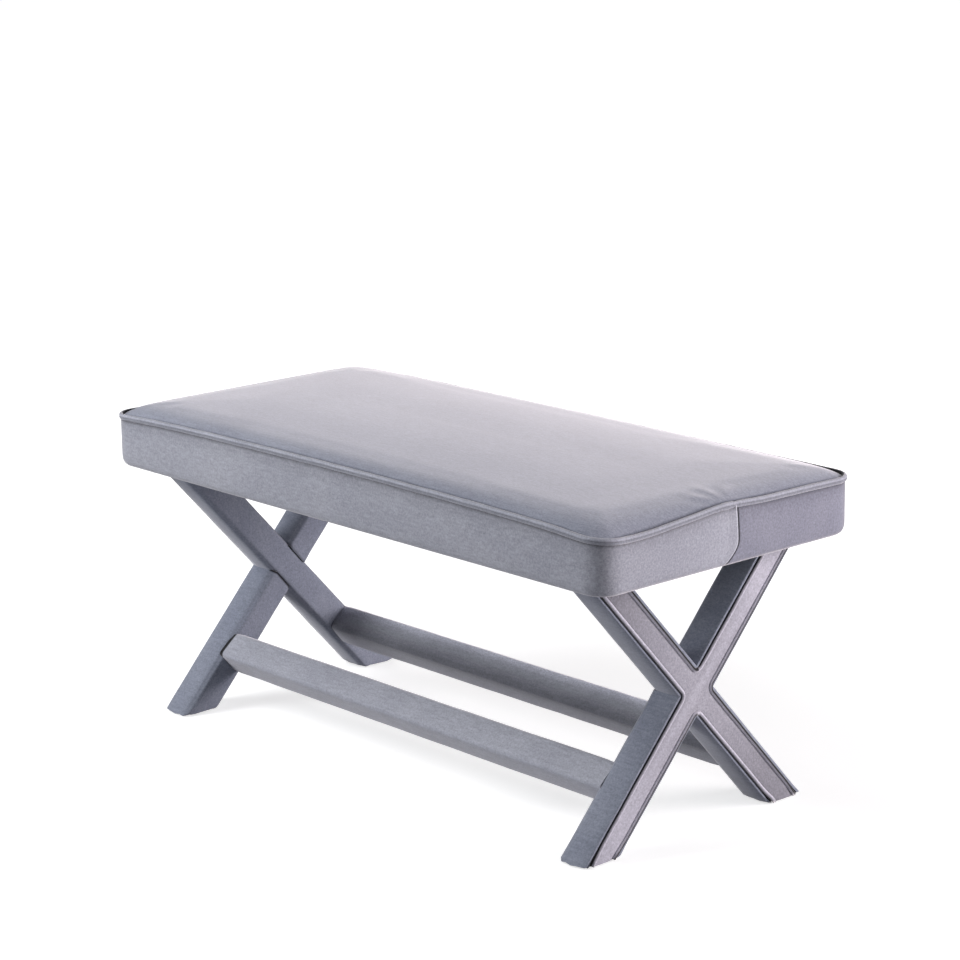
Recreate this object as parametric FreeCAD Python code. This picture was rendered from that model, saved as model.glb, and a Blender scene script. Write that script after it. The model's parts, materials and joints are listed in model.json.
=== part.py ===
import FreeCAD
import Part
import math
import os

from FreeCAD import Vector

# Upholstered bench: a boxed and welted seat on two crossed leg frames tied by two stretchers.
# Millimetres. X runs along the seat, Y from front to back, Z up from the floor,
# with the origin on the floor under the middle of the seat.

# Seat, measured over its cover
seat_length = 1000.0
seat_width = 460.0
seat_corner_radius = 35.0
least_corner_radius = 5.0
underside_height = 367.0
boxing_height = 71.0
crown_height = 22.0
crown_run = 110.0
side_draw = 4.0
bottom_edge_radius = 13.0
hem_width = 38.0
seat_welt_inset = 1.5

# Soft layers
fabric = 1.0
batting_side = 12.0
batting_top = 8.0
welt_diameter = 7.0
soft_gap = 0.25

# Seat frame
rail_width = 45.0
rail_height = 22.0
deck_thickness = 12.0
cleat_margin = 15.0
corner_block_leg = 40.0
dust_cover_inset = 24.0

# Leg frames
end_overhang = 62.0
leg_thickness = 43.0
arm_width = 46.0
foot_setback = 59.5
crossing_lift = 4.5
leg_padding = 3.0
leg_padding_outer = 4.0
leg_edge_radius = 7.0
leg_welt_offset = 17.0
leg_welt_bend = 7.0
glide_height = 2.5
glide_diameter = 20.0

# Stretchers
stretcher_size = 40.0
stretcher_height = 75.0
stretcher_padding = 3.0
stretcher_edge_radius = 6.0

# Fasteners
hole_clearance = 0.1
dowel_diameter = 8.0
rail_dowel_length = 36.0
stretcher_dowel_spread = 10.5
stretcher_dowel_in_leg = 20.0
stretcher_dowel_in_core = 30.0
bolt_diameter = 6.0
bolt_head_diameter = 10.0
bolt_head_height = 4.0
bolt_in_core = 55.0
barrel_nut_diameter = 10.0
barrel_nut_length = 24.0
barrel_nut_depth = 45.0
leg_screw_diameter = 6.0
leg_screw_head_diameter = 11.0
leg_screw_head_height = 4.0
leg_screw_in_arm = 35.0
leg_screw_spacing = 16.0
wood_screw_diameter = 4.0
wood_screw_head_diameter = 8.0
wood_screw_head_height = 3.0
lap_screw_length = 28.0
lap_screw_spacing = 20.0
deck_screw_length = 30.0
deck_screw_end_margin = 60.0
deck_screws_per_rail = 6
tack_head_diameter = 8.0
tack_head_height = 1.0
tack_shank_diameter = 2.0
tack_length = 13.0
tack_inset = 31.0
tacks_per_side = 5
tacks_per_end = 2
tack_leg_margin = 40.0
glide_nail_diameter = 3.0
glide_nail_length = 15.0

# How finely the soft forms are stepped
edge_steps = 4
crown_steps = 6
crown_power = 3
crown_corner_growth = 0.3

# Places that follow from the sizes above
half_length = seat_length / 2
half_width = seat_width / 2
welt_radius = welt_diameter / 2
seam_height = underside_height + boxing_height
hem_z = underside_height + fabric
batting_outer = fabric + soft_gap
batting_inner = batting_outer + batting_side
frame_inset = batting_inner + soft_gap
foam_drop = batting_outer + batting_top + soft_gap
rail_z = hem_z + fabric
deck_z = rail_z + rail_height
deck_top_z = deck_z + deck_thickness
frame_half_length = half_length - frame_inset
frame_half_width = half_width - frame_inset
rail_inner_x = frame_half_length - rail_width
rail_inner_y = frame_half_width - rail_width
welt_clear_inset = seat_welt_inset + welt_radius + soft_gap

leg_outer_x = half_length - end_overhang
leg_inner_x = leg_outer_x - leg_thickness
leg_mid_x = (leg_outer_x + leg_inner_x) / 2
cleat_inner_x = leg_inner_x - cleat_margin
foot_y = half_width - foot_setback
leg_top_z = underside_height
crossing_height = leg_top_z / 2 + crossing_lift
arm_angle = math.atan2(crossing_height, foot_y)
cover_half = arm_width / 2
padding_half = cover_half - fabric
wood_half = padding_half - leg_padding
wood_inner_x = leg_inner_x + fabric + leg_padding
wood_outer_x = leg_outer_x - fabric - leg_padding_outer
foot_z = glide_height
sole_z = foot_z + fabric
panel_half = leg_welt_offset - welt_radius - soft_gap
lip_half = leg_welt_offset + welt_radius + soft_gap
panel_bend = leg_welt_bend + welt_radius + soft_gap
lip_bend = leg_welt_bend - welt_radius - soft_gap

core_size = stretcher_size - 2 * (fabric + stretcher_padding)
bolt_length = wood_outer_x - leg_inner_x + bolt_in_core

X_AXIS = Vector(1, 0, 0)
Y_AXIS = Vector(0, 1, 0)
Z_AXIS = Vector(0, 0, 1)
ORIGIN = Vector(0, 0, 0)


# Shared shapes

def cylinder(diameter, length, start, axis):
    return Part.makeCylinder(diameter / 2, length, start, axis)


def hole(diameter, length, start, axis):
    return cylinder(diameter + 2 * hole_clearance, length, start, axis)


def box(low, high):
    size = high - low
    return Part.makeBox(size.x, size.y, size.z, low)


def spread(low, high, count):
    """Evenly spaced values from low to high."""
    return [low + (high - low) * step / (count - 1) for step in range(count)]


def solid_of(shape):
    """The one solid that a cut or a common leaves."""
    solids = shape.Solids
    if len(solids) != 1:
        raise ValueError("expected one solid, found %d" % len(solids))
    return solids[0]


def mirrored(shape):
    return shape.mirror(ORIGIN, X_AXIS)


def tube(edges, radius):
    """A round cord along a path of lines and arcs."""
    path = Part.Wire(edges)
    start = edges[0].valueAt(edges[0].FirstParameter)
    heading = edges[0].tangentAt(edges[0].FirstParameter)
    ring = Part.Wire([Part.Circle(start, heading, radius).toShape()])
    return path.makePipeShell([ring], True, False)


# Seat cushion form

def side_tangent(reach, draw):
    """Where a corner arc meets a side: steps along the side and out of it, for a radius of one."""
    if draw == 0:
        return 0.0, 1.0
    depth = (reach ** 2 - draw ** 2) / (2 * draw)
    return -reach / (depth + draw), depth / (depth + draw)


def outline_edges(inset, radius, draw, z):
    """Seat outline at one level: four sides drawn in at their middles, four tangent corner arcs."""
    side_x = half_length - inset
    side_y = half_width - inset
    centre_x = side_x - radius
    centre_y = side_y - radius
    along_x, out_y = side_tangent(centre_x, draw)
    along_y, out_x = side_tangent(centre_y, draw)
    bow = math.hypot(along_x + out_x, out_y + along_y)
    corners = {}
    for sx, sy in ((1, -1), (1, 1), (-1, 1), (-1, -1)):
        centre = Vector(sx * centre_x, sy * centre_y, z)
        on_side = centre + Vector(sx * along_x, sy * out_y, 0) * radius
        on_end = centre + Vector(sx * out_x, sy * along_y, 0) * radius
        middle = centre + Vector(sx * (along_x + out_x), sy * (out_y + along_y), 0) * (radius / bow)
        corners[sx, sy] = (on_side, middle, on_end)

    def side(start, middle, end):
        if draw == 0:
            return Part.LineSegment(start, end).toShape()
        return Part.Arc(start, middle, end).toShape()

    front_left, rear_left = corners[-1, -1], corners[-1, 1]
    front_right, rear_right = corners[1, -1], corners[1, 1]
    return [
        side(front_left[0], Vector(0, draw - side_y, z), front_right[0]),
        Part.Arc(front_right[0], front_right[1], front_right[2]).toShape(),
        side(front_right[2], Vector(side_x - draw, 0, z), rear_right[2]),
        Part.Arc(rear_right[2], rear_right[1], rear_right[0]).toShape(),
        side(rear_right[0], Vector(0, side_y - draw, z), rear_left[0]),
        Part.Arc(rear_left[0], rear_left[1], rear_left[2]).toShape(),
        side(rear_left[2], Vector(draw - side_x, 0, z), front_left[2]),
        Part.Arc(front_left[2], front_left[1], front_left[0]).toShape(),
    ]


def outline(inset, z, draw=0.0):
    radius = max(seat_corner_radius - inset, least_corner_radius)
    return Part.Wire(outline_edges(inset, radius, draw, z))


def slab(inset, low_z, high_z, draw=0.0):
    """The seat outline as a flat-topped block between two levels."""
    return Part.Face(outline(inset, low_z, draw)).extrude(Z_AXIS * (high_z - low_z))


def crown_wires(inset, drop):
    """Outlines that climb from the seam to the flat of the crown."""
    wires = []
    for step in range(crown_steps + 1):
        share = step / crown_steps
        run = crown_run * share
        z = seam_height - drop + crown_height * (1 - (1 - share) ** crown_power)
        radius = seat_corner_radius - inset + run * crown_corner_growth
        wires.append(Part.Wire(outline_edges(inset + run, radius, side_draw * (1 - share), z)))
    return wires


def rolled_body(inset):
    """The whole seat form, inset evenly: rolled bottom edge, drawn-in sides and crown."""
    roll = bottom_edge_radius - inset
    wires = []
    for step in range(edge_steps + 1):
        turn = math.pi / 2 * step / edge_steps
        level = hem_z + inset + roll * (1 - math.cos(turn))
        wires.append(outline(inset + roll * (1 - math.sin(turn)), level))
    return Part.makeLoft(wires + crown_wires(inset, inset), True, True)


def foam_body(inset, drop):
    """The seat form above the deck, with sides drawn in as they climb."""
    return Part.makeLoft([outline(inset, deck_top_z)] + crown_wires(inset, drop), True, True)


def tack_places():
    reach_x = leg_inner_x - tack_leg_margin
    side_y = half_width - tack_inset
    end_x = half_length - tack_inset
    places = []
    for sign in (-1, 1):
        places += [(x, sign * side_y) for x in spread(-reach_x, reach_x, tacks_per_side)]
        end_y = rail_inner_y / 2
        places += [(sign * end_x, y) for y in spread(-end_y, end_y, tacks_per_end)]
    return places


def deck_screw_places():
    reach_x = frame_half_length - deck_screw_end_margin
    rail_y = frame_half_width - rail_width / 2
    return [(x, sign * rail_y) for sign in (-1, 1) for x in spread(-reach_x, reach_x, deck_screws_per_rail)]


def leg_screw_places():
    """Upright screws, each placed so that it stays in the middle of the sloping arm."""
    arm_y = (leg_top_z - crossing_height - leg_screw_in_arm / 2) / math.tan(arm_angle)
    half = leg_screw_spacing / 2
    return [(sx * leg_mid_x + offset, sy * arm_y) for sx in (-1, 1) for sy in (-1, 1) for offset in (-half, half)]


def rail_dowel_places():
    """Both ends of each cross rail. A cleat's dowels lie in its margin, clear of the leg screws."""
    cleat_x = cleat_inner_x + cleat_margin / 2
    end_x = (rail_inner_x + frame_half_length) / 2
    return [(x, sign * rail_inner_y) for sign in (-1, 1) for x in (-end_x, -cleat_x, 0.0, cleat_x, end_x)]


def tack(x, y):
    head = cylinder(tack_head_diameter, tack_head_height, Vector(x, y, underside_height), -Z_AXIS)
    shank = cylinder(tack_shank_diameter, tack_length, Vector(x, y, underside_height), Z_AXIS)
    return head.fuse(shank).removeSplitter()


def tack_holes():
    start_z = underside_height - tack_head_height
    length = tack_length + tack_head_height + hole_clearance
    return [hole(tack_shank_diameter, length, Vector(x, y, start_z), Z_AXIS) for x, y in tack_places()]


def screw_down(x, y, top_z, diameter, head_diameter, head_height, length):
    """An upright wood screw whose flat head lies level with top_z."""
    head = cylinder(head_diameter, head_height, Vector(x, y, top_z), -Z_AXIS)
    shank = cylinder(diameter, length, Vector(x, y, top_z), -Z_AXIS)
    return head.fuse(shank).removeSplitter()


def screw_down_hole(x, y, top_z, diameter, head_diameter, head_height, length):
    sink = hole(head_diameter, head_height + hole_clearance, Vector(x, y, top_z), -Z_AXIS)
    shank = hole(diameter, length + hole_clearance, Vector(x, y, top_z), -Z_AXIS)
    return sink.fuse(shank).removeSplitter()


deck_screw_form = (wood_screw_diameter, wood_screw_head_diameter, wood_screw_head_height, deck_screw_length)
leg_screw_length = deck_z - leg_top_z + leg_screw_in_arm
leg_screw_form = (leg_screw_diameter, leg_screw_head_diameter, leg_screw_head_height, leg_screw_length)


def leg_screw_holes():
    return [screw_down_hole(x, y, deck_z, *leg_screw_form) for x, y in leg_screw_places()]


def seat_frame():
    """Rails, cleats, corner blocks and deck, with their screws and dowels."""
    frame_block = slab(frame_inset, rail_z, deck_z)
    end = frame_half_length
    side = frame_half_width
    deck_holes = [screw_down_hole(x, y, deck_top_z, *deck_screw_form) for x, y in deck_screw_places()]
    dowel_half = rail_dowel_length / 2
    dowel_z = (rail_z + deck_z) / 2
    dowel_starts = [Vector(x, y - dowel_half, dowel_z) for x, y in rail_dowel_places()]
    dowels = [cylinder(dowel_diameter, rail_dowel_length, start, Y_AXIS) for start in dowel_starts]
    gap = Y_AXIS * hole_clearance
    bored = rail_dowel_length + 2 * hole_clearance
    dowel_holes = [hole(dowel_diameter, bored, start - gap, Y_AXIS) for start in dowel_starts]
    drilled = deck_holes + dowel_holes + tack_holes()

    def rail(low_x, low_y, high_x, high_y):
        bar = box(Vector(low_x, low_y, rail_z), Vector(high_x, high_y, deck_z))
        return solid_of(bar.common(frame_block).cut(drilled))

    def cleat(low_x, high_x):
        bar = box(Vector(low_x, -rail_inner_y, hem_z), Vector(high_x, rail_inner_y, deck_z))
        return solid_of(bar.cut(dowel_holes + leg_screw_holes()))

    def corner_block(sx, sy):
        corner = Vector(sx * cleat_inner_x, sy * rail_inner_y, rail_z)
        along = corner - Vector(sx * corner_block_leg, 0, 0)
        across = corner - Vector(0, sy * corner_block_leg, 0)
        face = Part.Face(Part.makePolygon([corner, along, across, corner]))
        return face.extrude(Z_AXIS * rail_height).cut(dowel_holes).Solids[0]

    deck = solid_of(slab(frame_inset, deck_z, deck_top_z).cut(deck_holes))
    screws = [screw_down(x, y, deck_top_z, *deck_screw_form) for x, y in deck_screw_places()]
    leg_screws = [screw_down(x, y, deck_z, *leg_screw_form) for x, y in leg_screw_places()]
    blocks = [corner_block(sx, sy) for sx in (-1, 1) for sy in (-1, 1)]
    return {
        "seat_rail_front": rail(-end, -side, end, -rail_inner_y),
        "seat_rail_rear": rail(-end, rail_inner_y, end, side),
        "seat_rail_left": rail(-end, -rail_inner_y, -rail_inner_x, rail_inner_y),
        "seat_rail_right": rail(rail_inner_x, -rail_inner_y, end, rail_inner_y),
        "seat_rail_middle": rail(-rail_width / 2, -rail_inner_y, rail_width / 2, rail_inner_y),
        "seat_cleat_left": cleat(-rail_inner_x, -cleat_inner_x),
        "seat_cleat_right": cleat(cleat_inner_x, rail_inner_x),
        "seat_corner_blocks": Part.makeCompound(blocks),
        "seat_rail_dowels": Part.makeCompound(dowels),
        "seat_deck_board": deck,
        "seat_deck_screws": Part.makeCompound(screws),
        "leg_mount_screws": Part.makeCompound(leg_screws),
    }


def seat_upholstery():
    """Foam, batting and the sewn cover: top panel, welt, two boxing bands and the dust cover."""
    top_z = seam_height + crown_height
    welt_room = slab(-welt_diameter, seam_height - welt_radius - soft_gap, top_z)
    welt_room = welt_room.cut(slab(welt_clear_inset + soft_gap, underside_height, top_z, side_draw))
    foam_room = foam_body(batting_inner, batting_outer + batting_top)
    frame_room = slab(batting_inner, underside_height, deck_top_z)
    batting = rolled_body(batting_outer).cut([foam_room, frame_room, welt_room])

    shell = rolled_body(0.0).cut(rolled_body(fabric))
    boxing_top = seam_height - welt_radius - soft_gap
    opening = slab(hem_width, underside_height, hem_z + bottom_edge_radius)
    boxing = shell.cut([opening] + tack_holes())
    reach = Vector(seat_length, seat_width, 0)
    low = Z_AXIS * underside_height
    front_half = box(low - reach, Vector(seat_length, 0, boxing_top))
    rear_half = box(low - Vector(seat_length, 0, 0), Vector(seat_length, seat_width, boxing_top))
    top_panel = shell.common(slab(welt_clear_inset, seam_height - welt_radius, top_z + fabric, side_draw))

    welt_edges = outline_edges(seat_welt_inset, seat_corner_radius - seat_welt_inset, side_draw, seam_height)
    dust_cover = slab(dust_cover_inset, underside_height, hem_z).cut(tack_holes() + leg_screw_holes())
    return {
        "seat_foam_block": foam_body(frame_inset, foam_drop),
        "seat_batting_wrap": solid_of(batting),
        "seat_top_panel": solid_of(top_panel),
        "seat_boxing_front": solid_of(boxing.common(front_half)),
        "seat_boxing_rear": solid_of(boxing.common(rear_half)),
        "seat_welt_cord": tube(welt_edges, welt_radius),
        "seat_dust_cover": solid_of(dust_cover),
        "dust_cover_tacks": Part.makeCompound([tack(x, y) for x, y in tack_places()]),
    }


# Crossed leg frames, drawn at the right-hand end and mirrored for the left

def arm_y(z, lean):
    """Middle of an arm at height z. Lean 1 rises to the back, lean -1 rises to the front."""
    return lean * (z - crossing_height) / math.tan(arm_angle)


def arm_bar(lean, half, low_x, high_x, low_z, high_z):
    """One sloping arm, cut level at both ends."""
    reach = half / math.sin(arm_angle)
    low_y = arm_y(low_z, lean)
    high_y = arm_y(high_z, lean)
    corners = [
        Vector(low_x, low_y - reach, low_z),
        Vector(low_x, low_y + reach, low_z),
        Vector(low_x, high_y + reach, high_z),
        Vector(low_x, high_y - reach, high_z),
    ]
    face = Part.Face(Part.makePolygon(corners + corners[:1]))
    return face.extrude(X_AXIS * (high_x - low_x))


def rounded_corner(before, corner, after, radius):
    """Start, middle and end of the arc that rounds a corner between two points."""
    to_before = (before - corner).normalize()
    to_after = (after - corner).normalize()
    half_turn = to_before.getAngle(to_after) / 2
    setback = radius / math.tan(half_turn)
    bisector = (to_before + to_after).normalize()
    middle = corner + bisector * (radius / math.sin(half_turn) - radius)
    return corner + to_before * setback, middle, corner + to_after * setback


def cross_points(half, x, low_z, high_z):
    """Ends and notches of the X outline, in order, as (point, is_notch)."""
    reach = half / math.sin(arm_angle)
    rise = half / math.cos(arm_angle)
    top_y = arm_y(high_z, 1)
    bottom_y = -arm_y(low_z, 1)
    return [
        (Vector(x, reach, crossing_height), True),
        (Vector(x, top_y + reach, high_z), False),
        (Vector(x, top_y - reach, high_z), False),
        (Vector(x, 0, crossing_height + rise), True),
        (Vector(x, reach - top_y, high_z), False),
        (Vector(x, -reach - top_y, high_z), False),
        (Vector(x, -reach, crossing_height), True),
        (Vector(x, -reach - bottom_y, low_z), False),
        (Vector(x, reach - bottom_y, low_z), False),
        (Vector(x, 0, crossing_height - rise), True),
        (Vector(x, bottom_y - reach, low_z), False),
        (Vector(x, bottom_y + reach, low_z), False),
    ]


def cross_prism(half, low_x, high_x, low_z, high_z, notch_radius=0.0):
    """A solid X, with its four notches sharp or rounded."""
    points = cross_points(half, low_x, low_z, high_z)
    edges = []
    arcs = []
    stops = []
    for index, (point, is_notch) in enumerate(points):
        if is_notch and notch_radius > 0:
            after = points[(index + 1) % len(points)][0]
            start, middle, end = rounded_corner(points[index - 1][0], point, after, notch_radius)
            arcs.append(Part.Arc(start, middle, end).toShape())
            stops.append((start, end, True))
        else:
            stops.append((point, point, False))
    arc_list = iter(arcs)
    for index, (start, end, has_arc) in enumerate(stops):
        if has_arc:
            edges.append(next(arc_list))
        edges.append(Part.LineSegment(end, stops[(index + 1) % len(stops)][0]).toShape())
    return Part.Face(Part.Wire(edges)).extrude(X_AXIS * (high_x - low_x))


def softened(prism, x, radius):
    """Round the long edges of an X on the face at x."""
    edges = []
    for edge in prism.Edges:
        level = edge.BoundBox.ZLength < soft_gap
        on_face = edge.BoundBox.XLength < soft_gap and abs(edge.BoundBox.XMin - x) < soft_gap
        if on_face and not level:
            edges.append(edge)
    return prism.makeFillet(radius, edges)


def split_cross(shape, half, names):
    """Part an X-shaped layer into the through arm and the two half arms beside it."""
    margin = seat_width
    through = arm_bar(-1, half, leg_inner_x - margin, leg_outer_x + margin, -margin, leg_top_z + margin)
    halves = sorted(shape.cut(through).Solids, key=lambda solid: solid.CenterOfMass.z)
    lower, upper = halves
    return dict(zip(names, (solid_of(shape.common(through)), upper, lower)))


def stretcher_joint(lean, offset):
    """A point on a lower arm at the stretcher's height, moved along the arm by offset."""
    along = Vector(0, lean * math.cos(arm_angle), math.sin(arm_angle))
    return Vector(0, arm_y(stretcher_height, lean), stretcher_height) + along * offset


def stretcher_dowel_spans():
    spans = []
    for lean in (-1, 1):
        for offset in (-stretcher_dowel_spread, stretcher_dowel_spread):
            start = stretcher_joint(lean, offset) + X_AXIS * (leg_inner_x - stretcher_dowel_in_core)
            spans.append((start, stretcher_dowel_in_core + stretcher_dowel_in_leg))
    return spans


def bolt_starts():
    """Where each stretcher bolt's head lies level with the outside of its arm."""
    return [stretcher_joint(lean, 0) + X_AXIS * wood_outer_x for lean in (-1, 1)]


def bolt_shank_holes():
    return [hole(bolt_diameter, bolt_length + hole_clearance, start, -X_AXIS) for start in bolt_starts()]


def bolt_head_holes():
    depth = bolt_head_height + hole_clearance
    return [hole(bolt_head_diameter, depth, start, -X_AXIS) for start in bolt_starts()]


def stretcher_dowel_holes():
    gap = X_AXIS * hole_clearance
    extra = 2 * hole_clearance
    return [hole(dowel_diameter, length + extra, start - gap, X_AXIS) for start, length in stretcher_dowel_spans()]


def lap_screw_starts():
    half = lap_screw_spacing / 2
    return [Vector(wood_outer_x, 0, crossing_height + offset) for offset in (-half, half)]


def glide_centres():
    return [Vector(leg_mid_x, arm_y(foot_z, lean), foot_z) for lean in (-1, 1)]


def glide(centre):
    disc = cylinder(glide_diameter, glide_height, centre, -Z_AXIS)
    nail = cylinder(glide_nail_diameter, glide_nail_length, centre, Z_AXIS)
    return disc.fuse(nail).removeSplitter()


def glide_nail_holes():
    length = glide_nail_length + hole_clearance
    return [hole(glide_nail_diameter, length, centre, Z_AXIS) for centre in glide_centres()]


def leg_welt(notch_index):
    """One cord that runs down an arm's edge, round a notch and along the next arm's edge."""
    margin = welt_diameter
    points = cross_points(leg_welt_offset, leg_outer_x, foot_z - margin, leg_top_z + margin)
    before = points[notch_index - 1][0]
    after = points[notch_index + 1][0]
    start, middle, end = rounded_corner(before, points[notch_index][0], after, leg_welt_bend)
    edges = [
        Part.LineSegment(before, start).toShape(),
        Part.Arc(start, middle, end).toShape(),
        Part.LineSegment(end, after).toShape(),
    ]
    trim = box(Vector(0, -seat_width, foot_z), Vector(seat_length, seat_width, leg_top_z))
    return solid_of(tube(edges, welt_radius).common(trim))


def leg_wood():
    """Two arms, each cut half away where they cross."""
    lap_x = (wood_inner_x + wood_outer_x) / 2
    ends = (sole_z, leg_top_z)
    through = arm_bar(-1, wood_half, wood_inner_x, wood_outer_x, *ends)
    lapped = arm_bar(1, wood_half, wood_inner_x, wood_outer_x, *ends)
    sink = wood_screw_head_height + hole_clearance
    drilled = bolt_head_holes() + bolt_shank_holes() + stretcher_dowel_holes()
    drilled += leg_screw_holes() + glide_nail_holes()
    for start in lap_screw_starts():
        drilled.append(hole(wood_screw_diameter, lap_screw_length + hole_clearance, start, -X_AXIS))
        drilled.append(hole(wood_screw_head_diameter, sink, start, -X_AXIS))
    outer_half = arm_bar(1, wood_half, lap_x, wood_outer_x, *ends)
    inner_half = arm_bar(-1, wood_half, wood_inner_x, lap_x, *ends)
    return {
        "leg_arm_through": solid_of(through.cut([outer_half] + drilled)),
        "leg_arm_lapped": solid_of(lapped.cut([inner_half] + drilled)),
    }


def leg_welt_groove():
    """The room that the four welts take up in the layers under the outer face."""
    span = (leg_outer_x - welt_radius - soft_gap, leg_outer_x, 0, leg_top_z + fabric)
    room = cross_prism(lip_half, *span, notch_radius=lip_bend)
    return room.cut(cross_prism(panel_half, *span, notch_radius=panel_bend))


def leg_padding_pieces():
    inner_x = leg_inner_x + fabric
    outer_x = leg_outer_x - fabric
    form = cross_prism(padding_half, inner_x, outer_x, sole_z, leg_top_z)
    form = softened(form, inner_x, leg_edge_radius)
    wood = [arm_bar(lean, wood_half, wood_inner_x, wood_outer_x, sole_z, leg_top_z) for lean in (-1, 1)]
    layer = form.cut(wood + [leg_welt_groove()] + bolt_shank_holes() + stretcher_dowel_holes())
    names = ("leg_padding_through", "leg_padding_upper", "leg_padding_lower")
    return split_cross(layer, padding_half, names)


def leg_cover_pieces():
    above = leg_top_z + fabric
    form = cross_prism(cover_half, leg_inner_x, leg_outer_x, foot_z, leg_top_z)
    form = softened(form, leg_inner_x, leg_edge_radius)
    inside = cross_prism(padding_half, leg_inner_x + fabric, leg_outer_x - fabric, sole_z, above)
    inside = softened(inside, leg_inner_x + fabric, leg_edge_radius - fabric)
    face_x = leg_outer_x - fabric
    face_opening = cross_prism(lip_half, face_x, leg_outer_x + fabric, 0, above, notch_radius=lip_bend)
    drilled = bolt_shank_holes() + stretcher_dowel_holes() + glide_nail_holes()
    layer = form.cut([inside, face_opening, leg_welt_groove()] + drilled)
    names = ("leg_cover_through", "leg_cover_upper", "leg_cover_lower")
    return split_cross(layer, cover_half, names)


def leg_frame():
    pieces = {}
    pieces.update(leg_wood())
    pieces.update(leg_padding_pieces())
    pieces.update(leg_cover_pieces())
    face_x = leg_outer_x - fabric
    pieces["leg_outer_panel"] = cross_prism(panel_half, face_x, leg_outer_x, foot_z, leg_top_z, panel_bend)
    notches = {"top": 3, "front": 6, "bottom": 9, "rear": 0}
    for place, index in notches.items():
        pieces["leg_welt_" + place] = leg_welt(index)
    pieces["leg_glides"] = Part.makeCompound([glide(centre) for centre in glide_centres()])
    return pieces


# Stretchers

def stretcher_bar(lean, size, radius):
    """A square bar between the leg frames, turned to lie in line with the arms that it joins."""
    half = size / 2
    bar = box(Vector(-leg_inner_x, -half, -half), Vector(leg_inner_x, half, half))
    long_edges = [edge for edge in bar.Edges if edge.BoundBox.XLength > size]
    bar = bar.makeFillet(radius, long_edges)
    bar.rotate(ORIGIN, X_AXIS, lean * math.degrees(arm_angle))
    bar.translate(stretcher_joint(lean, 0))
    return bar


def barrel_nut_axis(lean):
    return Vector(0, -lean * math.sin(arm_angle), math.cos(arm_angle))


def barrel_nut_start(lean):
    across = barrel_nut_axis(lean)
    return stretcher_joint(lean, 0) + X_AXIS * (leg_inner_x - barrel_nut_depth) - across * (barrel_nut_length / 2)


def barrel_nut_bore(lean):
    """The nut's bore, open on the bar's upper side."""
    length = (barrel_nut_length + core_size) / 2
    start = barrel_nut_start(lean) - barrel_nut_axis(lean) * hole_clearance
    return hole(barrel_nut_diameter, length + hole_clearance, start, barrel_nut_axis(lean))


def barrel_nuts():
    nuts = []
    for lean in (-1, 1):
        nut = cylinder(barrel_nut_diameter, barrel_nut_length, barrel_nut_start(lean), barrel_nut_axis(lean))
        nuts.append(nut.cut(bolt_shank_holes()))
    return nuts


def stretcher_bolts():
    bolts = []
    for start in bolt_starts():
        head = cylinder(bolt_head_diameter, bolt_head_height, start, -X_AXIS)
        shank = cylinder(bolt_diameter, bolt_length, start, -X_AXIS)
        bolts.append(head.fuse(shank).removeSplitter())
    return bolts


def lap_screws():
    screws = []
    for start in lap_screw_starts():
        head = cylinder(wood_screw_head_diameter, wood_screw_head_height, start, -X_AXIS)
        shank = cylinder(wood_screw_diameter, lap_screw_length, start, -X_AXIS)
        screws.append(head.fuse(shank).removeSplitter())
    return screws


def both_ends(solids):
    return Part.makeCompound(solids + [mirrored(solid) for solid in solids])


def stretchers():
    pieces = {}
    drilled = bolt_shank_holes() + stretcher_dowel_holes()
    drilled += [barrel_nut_bore(lean) for lean in (-1, 1)]
    drilled += [mirrored(tool) for tool in drilled]
    inner_radius = stretcher_edge_radius - fabric
    padding_size = stretcher_size - 2 * fabric
    core_radius = stretcher_edge_radius - fabric - stretcher_padding
    for place, lean in (("front", 1), ("rear", -1)):
        outside = stretcher_bar(lean, stretcher_size, stretcher_edge_radius)
        inside = stretcher_bar(lean, padding_size, inner_radius)
        padding = stretcher_bar(lean, padding_size, stretcher_edge_radius)
        around_core = stretcher_bar(lean, core_size, core_radius)
        core = stretcher_bar(lean, core_size, core_radius + soft_gap)
        pieces["stretcher_cover_" + place] = solid_of(outside.cut(inside))
        pieces["stretcher_padding_" + place] = solid_of(padding.cut(around_core))
        pieces["stretcher_core_" + place] = solid_of(core.cut(drilled))
    dowels = [cylinder(dowel_diameter, length, start, X_AXIS) for start, length in stretcher_dowel_spans()]
    pieces["stretcher_dowels"] = both_ends(dowels)
    pieces["stretcher_bolts"] = both_ends(stretcher_bolts())
    pieces["stretcher_barrel_nuts"] = both_ends(barrel_nuts())
    pieces["leg_lap_screws"] = both_ends(lap_screws())
    return pieces


def main():
    pieces = {}
    pieces.update(seat_frame())
    pieces.update(seat_upholstery())
    for name, shape in leg_frame().items():
        pieces["right_" + name] = shape
        pieces["left_" + name] = mirrored(shape)
    pieces.update(stretchers())
    os.makedirs("parts", exist_ok=True)
    for name, shape in pieces.items():
        shape.exportStep("parts/%s.step" % name)
        print("%-28s solids %2d  valid %s  volume %.0f" % (name, len(shape.Solids), shape.isValid(), shape.Volume))
    print(len(pieces), "nodes")


main()
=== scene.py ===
# %% [markdown]
# # An upholstered bench
# A boxed seat, piped and covered in pale velvet, stands on two crossed leg frames, and two square
# stretchers tie the frames together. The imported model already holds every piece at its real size, so it is
# loaded first, as a fixed frame in metres. Each soft piece is then rebuilt as cloth in the same place.

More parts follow.
